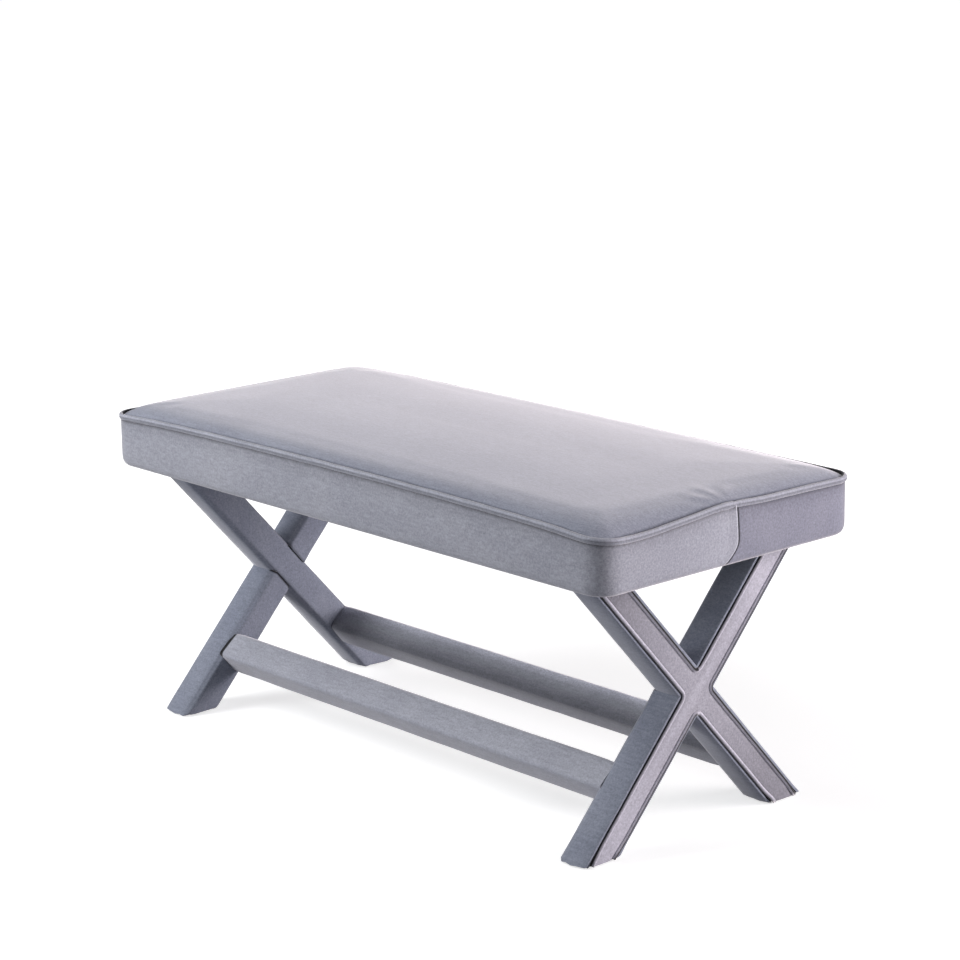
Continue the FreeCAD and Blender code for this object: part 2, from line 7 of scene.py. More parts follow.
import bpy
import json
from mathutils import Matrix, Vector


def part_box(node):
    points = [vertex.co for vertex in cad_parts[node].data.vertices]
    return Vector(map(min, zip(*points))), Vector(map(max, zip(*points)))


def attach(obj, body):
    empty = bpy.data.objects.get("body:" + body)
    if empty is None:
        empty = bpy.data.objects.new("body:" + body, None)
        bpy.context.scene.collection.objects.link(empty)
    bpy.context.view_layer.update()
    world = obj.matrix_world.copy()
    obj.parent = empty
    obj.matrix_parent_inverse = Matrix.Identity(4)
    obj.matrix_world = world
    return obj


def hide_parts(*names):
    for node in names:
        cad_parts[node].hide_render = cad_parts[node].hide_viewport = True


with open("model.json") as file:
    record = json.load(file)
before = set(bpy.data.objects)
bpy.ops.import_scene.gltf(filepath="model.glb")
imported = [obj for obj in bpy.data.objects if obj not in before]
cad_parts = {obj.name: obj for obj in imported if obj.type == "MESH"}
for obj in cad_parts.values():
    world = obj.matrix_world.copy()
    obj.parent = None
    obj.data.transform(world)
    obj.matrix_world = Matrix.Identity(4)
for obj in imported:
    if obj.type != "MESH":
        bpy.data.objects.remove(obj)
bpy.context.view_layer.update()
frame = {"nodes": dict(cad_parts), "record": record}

# %% [markdown]
# ## Small tools
# Most sizes on a bench are millimetres, while Blender works in metres, so one factor turns one into the
# other. A soft step from 0 to 1 serves every place where cloth bends away gently. Planes cut rows of
# edges wherever a shape has to bend. Every finished mesh goes through one function, which links it at the
# origin and says which body it moves with.

# %% Modules and helpers
import json
import math

import bmesh
import bpy
from mathutils import Matrix, Quaternion, Vector, noise

MM = 0.001
scene = bpy.context.scene


def ease(low, high, value):
    """A soft step: 0 up to low, 1 from high on."""
    share = min(max((value - low) / (high - low), 0.0), 1.0)
    return share * share * (3 - 2 * share)


def bump_at(distance, spread):
    """A soft hump: 1 at no distance, fading out over the spread."""
    return math.exp(-((distance / spread) ** 2))


def mesh_from(bm, name):
    """Turns a bmesh into a mesh with outward faces and smooth shading."""
    bmesh.ops.recalc_face_normals(bm, faces=bm.faces)
    mesh = bpy.data.meshes.new(name)
    bm.to_mesh(mesh)
    bm.free()
    mesh.shade_smooth()
    return mesh


def pick(items, kind):
    """The vertices, edges or faces among the items that an operator gives back."""
    return [item for item in items if isinstance(item, kind)]


def cut_row(bm, place, direction):
    """Cuts a row of edges where a plane crosses the mesh."""
    everything = bm.verts[:] + bm.edges[:] + bm.faces[:]
    bmesh.ops.bisect_plane(bm, geom=everything, dist=1e-6, plane_co=place, plane_no=direction)


def new_node(nodes, kind, **inputs):
    """Adds a shader node and sets the inputs named, with spaces for underscores."""
    node = nodes.new(kind)
    for name, value in inputs.items():
        node.inputs[name.replace("_", " ")].default_value = value
    return node


def add_piece(name, mesh, material, *stands_for):
    """Links a velvet piece at the origin, on the bench's one body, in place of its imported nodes."""
    mesh.materials.clear()
    mesh.materials.append(material)
    piece = bpy.data.objects.new(name, mesh)
    scene.collection.objects.link(piece)
    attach(piece, "root")
    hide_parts(*stands_for)
    return piece


# %% [markdown]
# ## Camera
# The photograph looks down a little onto the front and the right end, through a long lens. A camera can be
# aimed with a constraint, but a fixed place with an azimuth, an elevation and a slight roll repeats the
# photograph's view exactly.

# %% Camera
camera_place = Vector((2.8204, -2.5094, 1.31785))
camera_azimuth = math.radians(48.008)
camera_elevation = math.radians(13.843)
camera_roll = math.radians(-0.735)

camera = bpy.data.cameras.new("camera")
camera.lens = 107.06
camera.sensor_width = 36
camera.clip_end = 100
camera_object = bpy.data.objects.new("camera", camera)
scene.collection.objects.link(camera_object)
backward = Vector((
    math.sin(camera_azimuth) * math.cos(camera_elevation),
    -math.cos(camera_azimuth) * math.cos(camera_elevation),
    math.sin(camera_elevation),
))
aim = backward.to_track_quat("Z", "Y") @ Quaternion((0, 0, 1), camera_roll)
camera_object.matrix_world = Matrix.LocRotScale(camera_place, aim, None)
scene.camera = camera_object
print("camera distance:", round(camera_place.length, 3))

# %% [markdown]
# ## Floor and light
# The bench stands on a white sweep. A white floor throws light back up, and under a bench that would wash
# out the shade between the legs. So the floor is a mid grey for every ray but those that show it. The
# camera sees it lit, plus a glow that grows with distance, so that it turns white while the shadow stays.
# Light could come from a sky picture, but a few soft panels can each be reasoned about. The strong one
# stands low behind the right end, and a high one and one from the front left light the top and the front.
# Two weak ones lift the end and the near corner.

# %% Floor
floor_size = 30
near_glow = 0.66


def white_sweep():
    """A floor that shows white to the camera, keeps shadows, and throws back less light than it shows."""
    material = bpy.data.materials.new("white_sweep")
    material.use_nodes = True
    nodes = material.node_tree.nodes
    link = material.node_tree.links.new
    nodes.remove(nodes["Principled BSDF"])
    path = nodes.new("ShaderNodeLightPath")
    seen = nodes.new("ShaderNodeMath")
    seen.operation = "MAXIMUM"
    seen_more = nodes.new("ShaderNodeMath")
    seen_more.operation = "MAXIMUM"
    unseen = nodes.new("ShaderNodeBsdfDiffuse")
    unseen.inputs["Color"].default_value = (0.37, 0.375, 0.4, 1)
    lit = nodes.new("ShaderNodeBsdfDiffuse")
    lit.inputs["Color"].default_value = (0.62, 0.62, 0.62, 1)
    glow = nodes.new("ShaderNodeEmission")
    place = nodes.new("ShaderNodeTexCoord")
    away = nodes.new("ShaderNodeVectorMath")
    away.operation = "LENGTH"
    brighten = new_node(
        nodes, "ShaderNodeMapRange", From_Min=0.6, From_Max=1.8, To_Min=near_glow, To_Max=1.0
    )
    link(place.outputs["Object"], away.inputs[0])
    link(away.outputs["Value"], brighten.inputs["Value"])
    link(brighten.outputs["Result"], glow.inputs["Strength"])
    shown = nodes.new("ShaderNodeAddShader")
    choose = nodes.new("ShaderNodeMixShader")
    link(path.outputs["Is Camera Ray"], seen.inputs[0])
    link(path.outputs["Is Glossy Ray"], seen.inputs[1])
    link(seen.outputs[0], seen_more.inputs[0])
    link(path.outputs["Is Transmission Ray"], seen_more.inputs[1])
    link(lit.outputs[0], shown.inputs[0])
    link(glow.outputs[0], shown.inputs[1])
    link(seen_more.outputs[0], choose.inputs[0])
    link(unseen.outputs[0], choose.inputs[1])
    link(shown.outputs[0], choose.inputs[2])
    link(choose.outputs[0], nodes["Material Output"].inputs["Surface"])
    return material


floor_bm = bmesh.new()
bmesh.ops.create_grid(floor_bm, x_segments=1, y_segments=1, size=floor_size / 2)
floor = bpy.data.objects.new("floor", mesh_from(floor_bm, "floor"))
floor.data.materials.append(white_sweep())
scene.collection.objects.link(floor)
print("floor:", floor_size, "m across")

# %% Light
light_aim = Vector((0, 0, 0.3))
panel_size = 1.8


def soft_panel(name, place, watts, colour):
    """A square lamp, turned to face the bench."""
    lamp = bpy.data.lights.new(name, "AREA")
    lamp.shape = "SQUARE"
    lamp.size = panel_size
    lamp.energy = watts
    lamp.color = colour
    lamp_object = bpy.data.objects.new(name, lamp)
    turn = (Vector(place) - light_aim).to_track_quat("Z", "Y")
    lamp_object.matrix_world = Matrix.LocRotScale(Vector(place), turn, None)
    scene.collection.objects.link(lamp_object)


soft_panel("right_panel", (2.565, 2.152, 0.89), 139, (1, 0.94, 0.955))
soft_panel("high_panel", (-1.787, -1.787, 2.575), 72, (0.985, 0.99, 1))
soft_panel("front_panel", (-1.892, -2.702, 1.122), 56, (0.96, 0.98, 1))
soft_panel("end_panel", (3.15, 0.11, 1.574), 15.5, (1, 0.97, 0.98))
soft_panel("near_panel", (2.403, -2.164, 1.351), 7.5, (0.9, 0.95, 1))

world = bpy.data.worlds.new("studio")
world.use_nodes = True
scene.world = world
sky_nodes = world.node_tree.nodes
sky_link = world.node_tree.links.new
sky = sky_nodes["Background"]
sky.inputs["Color"].default_value = (0.8, 0.88, 1, 1)
sky.inputs["Strength"].default_value = 0.015
sky_white = sky_nodes.new("ShaderNodeBackground")
sky_white.inputs["Color"].default_value = (1, 1, 1, 1)
sky_path = sky_nodes.new("ShaderNodeLightPath")
sky_choose = sky_nodes.new("ShaderNodeMixShader")
sky_link(sky_path.outputs["Is Camera Ray"], sky_choose.inputs[0])
sky_link(sky.outputs[0], sky_choose.inputs[1])
sky_link(sky_white.outputs[0], sky_choose.inputs[2])
sky_link(sky_choose.outputs[0], sky_nodes["World Output"].inputs["Surface"])
scene.view_settings.view_transform = "Standard"
print("lamps:", [light.name for light in bpy.data.lights])

# %% [markdown]
# ## Velvet
# Velvet is a short upright pile. Looked at straight on it is dark, because the eye sees in between the
# fibres, and at a slant it is bright, because it sees their sides: that is what the Sheen of the
# Principled shader does. The pile lies one way or the other in wide soft patches where a hand has passed,
# it shows thin streaks along the cloth, and the fibre ends make a fine grain. The colour also carries
# painted shade and painted highlights: each mesh holds a value for them, 1 for painted shade in a gap or a
# seam, below 0 for a painted highlight on a crest. One node group turns all of this into a colour and a
# height, and every velvet material uses it with its own two colours.

# %% Velvet node group
def velvet_nap_group():
    """Colour of pile that lies in patches, with painted shade in gaps and painted highlights on crests, and
    grain height.
    """
    group = bpy.data.node_groups.new("velvet_nap", "ShaderNodeTree")
    socket = group.interface.new_socket
    socket("Pile", in_out="INPUT", socket_type="NodeSocketColor")
    socket("Brushed", in_out="INPUT", socket_type="NodeSocketColor")
    socket("Patch Scale", in_out="INPUT", socket_type="NodeSocketFloat")
    socket("Grain Scale", in_out="INPUT", socket_type="NodeSocketFloat")
    socket("Colour", in_out="OUTPUT", socket_type="NodeSocketColor")
    socket("Height", in_out="OUTPUT", socket_type="NodeSocketFloat")
    nodes = group.nodes
    link = group.links.new
    given = nodes.new("NodeGroupInput")
    result = nodes.new("NodeGroupOutput")
    place = nodes.new("ShaderNodeTexCoord")
    patches = new_node(nodes, "ShaderNodeTexNoise", Detail=3.0, Roughness=0.55, Distortion=0.8)
    patch_range = new_node(nodes, "ShaderNodeMapRange", From_Min=0.3, From_Max=0.7)
    brushed_and_painted_light = nodes.new("ShaderNodeMix")
    brushed_and_painted_light.data_type = "RGBA"
    drawn_out = new_node(nodes, "ShaderNodeMapping", Scale=(1, 5, 5))
    streaks = new_node(nodes, "ShaderNodeTexNoise", Scale=60.0, Detail=3.0, Roughness=0.6)
    streak_range = new_node(
        nodes, "ShaderNodeMapRange", From_Min=0.3, From_Max=0.7, To_Min=0.89, To_Max=1.11
    )
    grain = new_node(nodes, "ShaderNodeTexNoise", Detail=2.0, Roughness=0.8)
    grain_range = new_node(
        nodes, "ShaderNodeMapRange", From_Min=0.25, From_Max=0.75, To_Min=0.77, To_Max=1.23
    )
    # Painted shade and highlight: the mesh value darkens the colour nearly to black in gaps, and lightens it
    # on crests.
    painted_shading = nodes.new("ShaderNodeAttribute")
    painted_shading.attribute_name = "painted_shading"
    painted_shading_factor = new_node(nodes, "ShaderNodeMapRange", To_Min=1.0, To_Max=0.02)
    painted_shading_factor.clamp = False
    marked = nodes.new("ShaderNodeMath")
    marked.operation = "MULTIPLY"
    shaded = nodes.new("ShaderNodeMath")
    shaded.operation = "MULTIPLY"
    speckled = nodes.new("ShaderNodeVectorMath")
    speckled.operation = "SCALE"
    link(place.outputs["Object"], patches.inputs["Vector"])
    link(given.outputs["Patch Scale"], patches.inputs["Scale"])
    link(patches.outputs["Fac"], patch_range.inputs["Value"])
    link(patch_range.outputs["Result"], brushed_and_painted_light.inputs["Factor"])
    link(given.outputs["Pile"], brushed_and_painted_light.inputs["A"])
    link(given.outputs["Brushed"], brushed_and_painted_light.inputs["B"])
    link(place.outputs["Object"], drawn_out.inputs["Vector"])
    link(drawn_out.outputs["Vector"], streaks.inputs["Vector"])
    link(streaks.outputs["Fac"], streak_range.inputs["Value"])
    link(place.outputs["Object"], grain.inputs["Vector"])
    link(given.outputs["Grain Scale"], grain.inputs["Scale"])
    link(grain.outputs["Fac"], grain_range.inputs["Value"])
    link(grain_range.outputs["Result"], marked.inputs[0])
    link(streak_range.outputs["Result"], marked.inputs[1])
    link(painted_shading.outputs["Fac"], painted_shading_factor.inputs["Value"])
    link(marked.outputs[0], shaded.inputs[0])
    link(painted_shading_factor.outputs["Result"], shaded.inputs[1])
    link(brushed_and_painted_light.outputs["Result"], speckled.inputs[0])
    link(shaded.outputs[0], speckled.inputs["Scale"])
    link(speckled.outputs["Vector"], result.inputs["Colour"])
    link(grain.outputs["Fac"], result.inputs["Height"])
    return group


velvet_nap = velvet_nap_group()
outputs = [item.name for item in velvet_nap.interface.items_tree if item.in_out == "OUTPUT"]
print("velvet group outputs:", outputs)

# %% Velvet materials
grain_scale = 380
grain_bump = 0.35


def velvet(name, pile, brushed_and_painted_light, patch_scale):
    """Velvet whose pile lies one way on this cut of cloth, so it is lighter or darker than the next cut."""
    material = bpy.data.materials.new(name)
    material.use_nodes = True
    nodes = material.node_tree.nodes
    link = material.node_tree.links.new
    shader = nodes["Principled BSDF"]
    shader.inputs["Roughness"].default_value = 0.82
    shader.inputs["Specular IOR Level"].default_value = 0.15
    shader.inputs["Sheen Weight"].default_value = 1.0
    shader.inputs["Sheen Roughness"].default_value = 0.36
    shader.inputs["Sheen Tint"].default_value = (1, 0.96, 0.98, 1)
    nap = nodes.new("ShaderNodeGroup")
    nap.node_tree = velvet_nap
    nap.inputs["Pile"].default_value = (*pile, 1)
    nap.inputs["Brushed"].default_value = (*brushed_and_painted_light, 1)
    nap.inputs["Patch Scale"].default_value = patch_scale
    nap.inputs["Grain Scale"].default_value = grain_scale
    bump = new_node(nodes, "ShaderNodeBump", Strength=grain_bump, Distance=0.4 * MM)
    link(nap.outputs["Colour"], shader.inputs["Base Color"])
    link(nap.outputs["Height"], bump.inputs["Height"])
    link(bump.outputs["Normal"], shader.inputs["Normal"])
    return material


velvet_top = velvet("velvet_top", (0.265, 0.28, 0.348), (0.315, 0.331, 0.401), 4.5)
velvet_band = velvet("velvet_band", (0.3, 0.304, 0.35), (0.35, 0.352, 0.396), 6)
velvet_band_rear = velvet("velvet_band_rear", (0.208, 0.21, 0.262), (0.248, 0.248, 0.3), 6)
velvet_piping = velvet("velvet_piping", (0.27, 0.275, 0.32), (0.31, 0.315, 0.36), 9)
velvet_leg = velvet("velvet_leg", (0.204, 0.22, 0.278), (0.255, 0.272, 0.33), 8)
velvet_leg_panel = velvet("velvet_leg_panel", (0.292, 0.284, 0.327), (0.34, 0.33, 0.374), 8)
velvet_stretcher = velvet("velvet_stretcher", (0.337, 0.341, 0.392), (0.394, 0.399, 0.451), 7)
print("velvets:", [m.name for m in bpy.data.materials if m.name.startswith("velvet")])

# %% [markdown]
# ## The seat's lay
# The seat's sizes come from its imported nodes. On the real seat the piped seam isn't a ruled line: it
# rises between the corners, dips at the near corner and peaks where the piping's two ends meet. The top
# rolls up quickly from the seam and is almost flat in the middle, it is slack at its corners, and small
# folds fan out over it from the piping's joint. Small functions give those heights, so the top, the band
# and the piping all follow the same seam.

# %% Seat sizes
band_low, band_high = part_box("seat_boxing_front")
welt_low, welt_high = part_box("seat_welt_cord")
half_length = band_high.x
half_width = -band_low.y
hem_sag = 3.5 * MM
hem_height = band_low.z - hem_sag
welt_radius = (welt_high.z - welt_low.z) / 2
seam_height = (welt_high.z + welt_low.z) / 2
crown_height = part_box("seat_top_panel")[1].z - seam_height
corner_radius = 35 * MM
crown_run = 85 * MM
crown_power = 4
crown_fullness = 1.08
dome_share = 0.2
hem_roll = 12 * MM
side_draw = 4 * MM
print("seat half sizes:", round(half_length, 4), round(half_width, 4), "seam at", round(seam_height, 4))

# %% Seam and crown heights
front_lift = 5.0 * MM
rear_lift = 3.0 * MM
joint_place = 6.5 * MM
joint_peak = -10 * MM
joint_lift = 3.5 * MM
joint_spread = 45 * MM
corner_dip = 6 * MM
corner_dip_place = Vector((half_length, -165 * MM))
corner_dip_spread = 75 * MM
far_end_dip = 2 * MM
corner_slack = 0.35
corner_slack_spread = 42 * MM
fan_height = 1.1 * MM
fan_place = 34 * MM
fan_spread = 20 * MM


def edge_distance(x, y):
    """How far a point lies inside the seat's round-cornered outline."""
    past_x = abs(x) - (half_length - corner_radius)
    past_y = abs(y) - (half_width - corner_radius)
    past = math.hypot(max(past_x, 0), max(past_y, 0)) + min(max(past_x, past_y), 0)
    return corner_radius - past


def seam_lift(x, y):
    """How far the sewing lifts the seam from its drawn height."""
    lift = (front_lift if y < 0 else rear_lift) * (1 - (x / half_length) ** 2)
    lift += joint_lift * bump_at(y - joint_peak, joint_spread) * ease(0.8 * half_length, half_length, x)
    lift -= corner_dip * bump_at((Vector((x, y)) - corner_dip_place).length, corner_dip_spread)
    return lift - far_end_dip * ease(0.7 * half_length, half_length, -x)


def joint_fan(x, y):
    """Small folds that fan out over the top from the place where the piping's ends are joined."""
    from_joint = Vector((half_length - x, y - joint_peak))
    turn = math.atan2(from_joint.y, max(from_joint.x, 1 * MM))
    return fan_height * math.sin(turn * 9 + 1) * bump_at(from_joint.length - fan_place, fan_spread)


def crown_at(x, y):
    """Height of the top above its drawn seam."""
    share = min(max(edge_distance(x, y), 0) / crown_run, 1)
    from_corner = math.hypot(half_length - abs(x), half_width - abs(y))
    fullness = 1 - corner_slack * bump_at(from_corner, corner_slack_spread)
    roll = 1 - (1 - share) ** crown_power
    dome = (1 - (x / half_length) ** 2) * (1 - (y / half_width) ** 2)
    crown = crown_height * crown_fullness * fullness * (roll + dome_share * (dome - roll))
    return crown + seam_lift(x, y) * (1 - share) ** 2 + joint_fan(x, y)


def on_outline(s, t, draw):
    """Takes a point of the square from -1 to 1 to the seat's outline, with its sides drawn in."""
    x = s * half_length
    y = t * half_width
    past_x = (abs(x) - (half_length - corner_radius)) / corner_radius
    past_y = (abs(y) - (half_width - corner_radius)) / corner_radius
    if past_x > 0 and past_y > 0:
        round_x = past_x * math.sqrt(1 - past_y ** 2 / 2)
        round_y = past_y * math.sqrt(1 - past_x ** 2 / 2)
        x = math.copysign(half_length + (round_x - 1) * corner_radius, x)
        y = math.copysign(half_width + (round_y - 1) * corner_radius, y)
    return Vector((x * (1 - draw / half_length * (1 - t * t)), y * (1 - draw / half_width * (1 - s * s))))


def outward(point):
    """The outline's outward direction at a point on it."""
    past_x = max(abs(point.x) - (half_length - corner_radius), 0)
    past_y = max(abs(point.y) - (half_width - corner_radius), 0)
    return Vector((math.copysign(past_x, point.x), math.copysign(past_y, point.y))).normalized()


print("crown in the middle:", round(crown_at(0, 0) / MM, 1), "mm")

# %% [markdown]
# ## Seat shell
# The stuffed seat could be remeshed from its solid, but cloth on a seat runs in straight threads. So a
# grid makes the top, its rim is extruded down the band and under the hem, and a face closes the bottom.
# The shell is held along the seam and the hem, where the real cloth is sewn and stapled, and the cloth
# solver blows it up with a little pressure, so that the top and the bands swell between their seams as
# padding makes them. The solver's movement is then limited, so that the rolled edge keeps its drawn
# shape.

# %% Build the shell
grid_step = 8 * MM
band_rows = 8
hem_rows = 3
TOP, BAND, BOTTOM = 0, 1, 2
start_share = 0.9
under_piping_shade = 0.26


def side_places():
    """Steps down the band: how far down it, then how far round the hem's roll, then how far under."""
    for row in range(1, band_rows + 1):
        yield row / band_rows, 0.0, 0.0
    for turn in (30, 60, 90):
        yield 1.0, math.radians(turn), 0.0
    for row in range(1, hem_rows + 1):
        yield 1.0, math.radians(90), row * grid_step


def on_side(s, t, down, turn, under):
    """A point of the band: from the seam down, round the hem's roll and under the seat."""
    sewn = on_outline(s, t, side_draw)
    straight = on_outline(s, t, 0)
    seam = seam_height + seam_lift(sewn.x, sewn.y)
    roll_top = hem_height + hem_roll
    inset = hem_roll * (1 - math.cos(turn)) + under
    flat = sewn.lerp(straight, down) - outward(straight) * inset
    height = seam + (roll_top - seam) * down - hem_roll * math.sin(turn)
    return Vector((flat.x, flat.y, height))


shell = bmesh.new()
bmesh.ops.create_grid(
    shell,
    x_segments=round(2 * half_length / grid_step),
    y_segments=round(2 * half_width / grid_step),
    size=1,
)
s_layer = shell.verts.layers.float.new("s")
t_layer = shell.verts.layers.float.new("t")
held_layer = shell.verts.layers.deform.verify()
painted_shading_layer = shell.verts.layers.float.new("painted_shading")
for vertex in shell.verts:
    vertex[s_layer] = vertex.co.x
    vertex[t_layer] = vertex.co.y
    flat = on_outline(vertex.co.x, vertex.co.y, side_draw)
    lift = seam_lift(flat.x, flat.y)
    height = lift + (crown_at(flat.x, flat.y) - lift) * start_share
    vertex.co = (flat.x, flat.y, seam_height + height)
    # The top's rim along the seam gets painted shade.
    if vertex.is_boundary:
        vertex[held_layer][0] = 1.0
        vertex[painted_shading_layer] = 1.0

rim = [edge for edge in shell.edges if edge.is_boundary]
for down, turn, under in side_places():
    grown = bmesh.ops.extrude_edge_only(shell, edges=rim)["geom"]
    for vertex in pick(grown, bmesh.types.BMVert):
        vertex.co = on_side(vertex[s_layer], vertex[t_layer], down, turn, under)
        vertex[held_layer][0] = 1.0 if turn > 0 else 0.0
        # Painted shade on the band just under the piping, fading out over the band's first third.
        vertex[painted_shading_layer] = under_piping_shade * max(1 - down * 3, 0)
    for face in pick(grown, bmesh.types.BMFace):
        face.material_index = BAND
    rim = [edge for edge in pick(grown, bmesh.types.BMEdge) if edge.is_boundary]
closing = bmesh.ops.contextual_create(shell, geom=rim)["faces"]
for face in closing:
    face.material_index = BOTTOM
print("shell faces:", len(shell.faces))

# %% Swell it as padded cloth
swell_frames = 20
swell_pressure = 1.6
roll_limit = 0.4 * MM
top_limit = 3 * MM
band_limit = 2 * MM


def swell(piece, pressure):
    """Runs the cloth solver on a held shell and returns where its points come to lie."""
    cloth = piece.modifiers.new("swell", "CLOTH")
    cloth.settings.quality = 6
    cloth.settings.mass = 0.3
    cloth.settings.use_pressure = True
    cloth.settings.uniform_pressure_force = pressure
    cloth.settings.effector_weights.gravity = 0
    cloth.settings.vertex_group_mass = "held"
    cloth.collision_settings.use_collision = False
    cloth.point_cache.frame_start = 1
    cloth.point_cache.frame_end = swell_frames
    for number in range(1, swell_frames + 1):
        scene.frame_set(number)
    solved = piece.evaluated_get(bpy.context.evaluated_depsgraph_get())
    places = [vertex.co.copy() for vertex in solved.data.vertices]
    piece.modifiers.remove(cloth)
    scene.frame_set(1)
    return places


shell_mesh = mesh_from(shell, "seat_shell")
shell_piece = bpy.data.objects.new("seat_shell", shell_mesh)
scene.collection.objects.link(shell_piece)
shell_piece.vertex_groups.new(name="held")
solved_places = swell(shell_piece, swell_pressure)
farthest = 0
for vertex, place in zip(shell_mesh.vertices, solved_places):
    move = place - vertex.co
    inside = edge_distance(vertex.co.x, vertex.co.y)
    limit = band_limit
    if vertex.co.z > seam_height and inside > 0.5 * grid_step:
        limit = roll_limit + (top_limit - roll_limit) * ease(20 * MM, 170 * MM, inside)
    if move.length > 0:
        vertex.co += move.normalized() * limit * math.tanh(move.length / limit)
    farthest = max(farthest, move.length)
bpy.data.objects.remove(shell_piece)
print("cloth moved up to", round(farthest / MM, 2), "mm before the limit")

# %% [markdown]
# ## Top, bands and their end seams
# The swollen shell is cut apart where the real cover is sewn. The top keeps its own faces and a strip
# that is tucked into the seam. The band is two strips that meet in the middle of each end: the front
# strip is folded over and lies on the rear one, and the fold swings forward where it turns under the hem.
# Planes cut rows beside the seam, so that the fold has real thickness and casts its own shade. These rows
# also carry painted shade on the rear strip beside the seam and a painted highlight on the front strip's
# folded lip, and the front strip is painted a little lighter near the seam. Each piece gets one
# subdivision, which rounds the solver's grid, and a wall of wadding behind the cloth, which closes the
# piece without a face across the seat.

# %% Seat top
tuck_depth = 14 * MM
tuck_inset = 0.985
wadding_thickness = 4 * MM


def soften(piece):
    """One subdivision, which rounds the grid that the cloth solver worked on."""
    finer = piece.modifiers.new("soften", "SUBSURF")
    finer.levels = 1
    finer.render_levels = 1


def back_with_wadding(piece):
    """Gives the cloth its wadding, inwards, so that the piece has a back and no open edge."""
    wall = piece.modifiers.new("cloth and wadding", "SOLIDIFY")
    wall.thickness = wadding_thickness
    wall.offset = -1


def part_of_shell(index):
    """A copy of the shell with only the faces of one part."""
    bm = bmesh.new()
    bm.from_mesh(shell_mesh)
    others = [face for face in bm.faces if face.material_index != index]
    bmesh.ops.delete(bm, geom=others, context="FACES")
    for face in bm.faces:
        face.material_index = 0
    return bm


top = part_of_shell(TOP)
tucked = bmesh.ops.extrude_edge_only(top, edges=[edge for edge in top.edges if edge.is_boundary])["geom"]
tucked_verts = pick(tucked, bmesh.types.BMVert)
bmesh.ops.translate(top, vec=(0, 0, -tuck_depth), verts=tucked_verts)
bmesh.ops.scale(top, vec=(tuck_inset, tuck_inset, 1), verts=tucked_verts)
seat_top = add_piece(
    "seat_top", mesh_from(top, "seat_top"), velvet_top,
    "seat_top_panel", "seat_foam_block", "seat_batting_wrap",
)
soften(seat_top)
back_with_wadding(seat_top)
print("seat top faces:", len(seat_top.data.polygons))

# %% Seat bands
fold_rows = [offset * MM for offset in (-14, -8, -4, -1.8, 0, 2, 4, 6, 9)]
fold_lift = 1.3 * MM
fold_shade = 4.5 * MM
fold_highlight = -0.8
end_painted_light = -0.1
end_painted_light_spread = 70 * MM
fold_reach = 14 * MM
fold_swing = 22 * MM
fold_swing_height = 30 * MM
fold_swing_spread = 34 * MM


def fold_shift(height):
    """The end seam runs straight down, then swings forward as it nears the hem."""
    return -fold_swing * ease(hem_height + fold_swing_height, hem_height - 2 * MM, height)


def above_hem(height):
    """The fold is pressed flat where it turns under the seat."""
    return ease(hem_height, hem_height + hem_roll, height)


def seat_band(name, front, material):
    """One strip of the band, cut off at the seams in the middle of both ends."""
    bm = part_of_shell(BAND)
    for offset in fold_rows:
        cut_row(bm, (0, joint_place + offset, 0), (0, 1, 0))
    others = [face for face in bm.faces if (face.calc_center_median().y < joint_place) != front]
    bmesh.ops.delete(bm, geom=others, context="FACES")
    fold_edges = [
        edge for edge in bm.edges
        if edge.is_boundary and all(abs(vertex.co.y - joint_place) < 1e-5 for vertex in edge.verts)
    ]
    painted_shading = bm.verts.layers.float["painted_shading"]
    for vertex in bm.verts:
        from_seam = vertex.co.y - joint_place
        near = 1 - ease(0, fold_reach, abs(from_seam))
        step = fold_lift if front else -0.4 * fold_lift
        vertex.co.x += math.copysign(1, vertex.co.x) * step * near * above_hem(vertex.co.z)
        # Painted light near the end seam: the front strip is a little lighter towards it and gets a painted
        # highlight on its edge, and the rear strip gets painted shade beside it.
        if front:
            vertex[painted_shading] += end_painted_light * bump_at(from_seam, end_painted_light_spread)
        if front and from_seam > -0.1 * MM:
            vertex[painted_shading] = fold_highlight
        if not front and from_seam < fold_shade:
            vertex[painted_shading] = 0.9
        vertex.co.y += fold_shift(vertex.co.z) * bump_at(from_seam, fold_swing_spread)
    # The last number of each turned row is its painted shade; below 0 it is a painted highlight.
    turned = [(-4, -0.8, 1), (-4, -0.6, 1)]
    if front:
        turned = [(0.8, -0.5, fold_highlight), (0.5, -1.6, 0.5), (0, -2, 1)]
    for along, outwards, depth in turned:
        grown = bmesh.ops.extrude_edge_only(bm, edges=fold_edges)["geom"]
        for vertex in pick(grown, bmesh.types.BMVert):
            upright = above_hem(vertex.co.z)
            sideways = math.copysign(1, vertex.co.x) * outwards * upright
            vertex.co += Vector((sideways, along, -outwards * (1 - upright))) * MM
            vertex[painted_shading] = depth
        fold_edges = [edge for edge in pick(grown, bmesh.types.BMEdge) if edge.is_boundary]
        fold_edges = [edge for edge in fold_edges if all(vertex in grown for vertex in edge.verts)]
    stands_for = "seat_boxing_front" if front else "seat_boxing_rear"
    piece = add_piece(name, mesh_from(bm, name), material, stands_for)
    soften(piece)
    back_with_wadding(piece)
    return piece


seat_band_front = seat_band("seat_band_front", True, velvet_band)
seat_band_rear = seat_band("seat_band_rear", False, velvet_band_rear)
print("band faces:", len(seat_band_front.data.polygons), len(seat_band_rear.data.polygons))

# %% [markdown]
# ## Piping round the seat
# A piping cord is a strip of velvet sewn round a string and caught in the seam. A bevelled curve would
# make a plain tube. Here the tube is built ring by ring, so that it can be creased along the front, where
# the strip is folded, and can carry painted shade in the crease and on the side that lies in the seam, and
# a painted highlight along its crest. Its line follows the seam, with the small unevenness of hand sewing,
# and it swells where its two ends are joined on the right end.

# %% Piping helper
piping_step = 3 * MM
cord_sides = 16
crease_width = 0.3


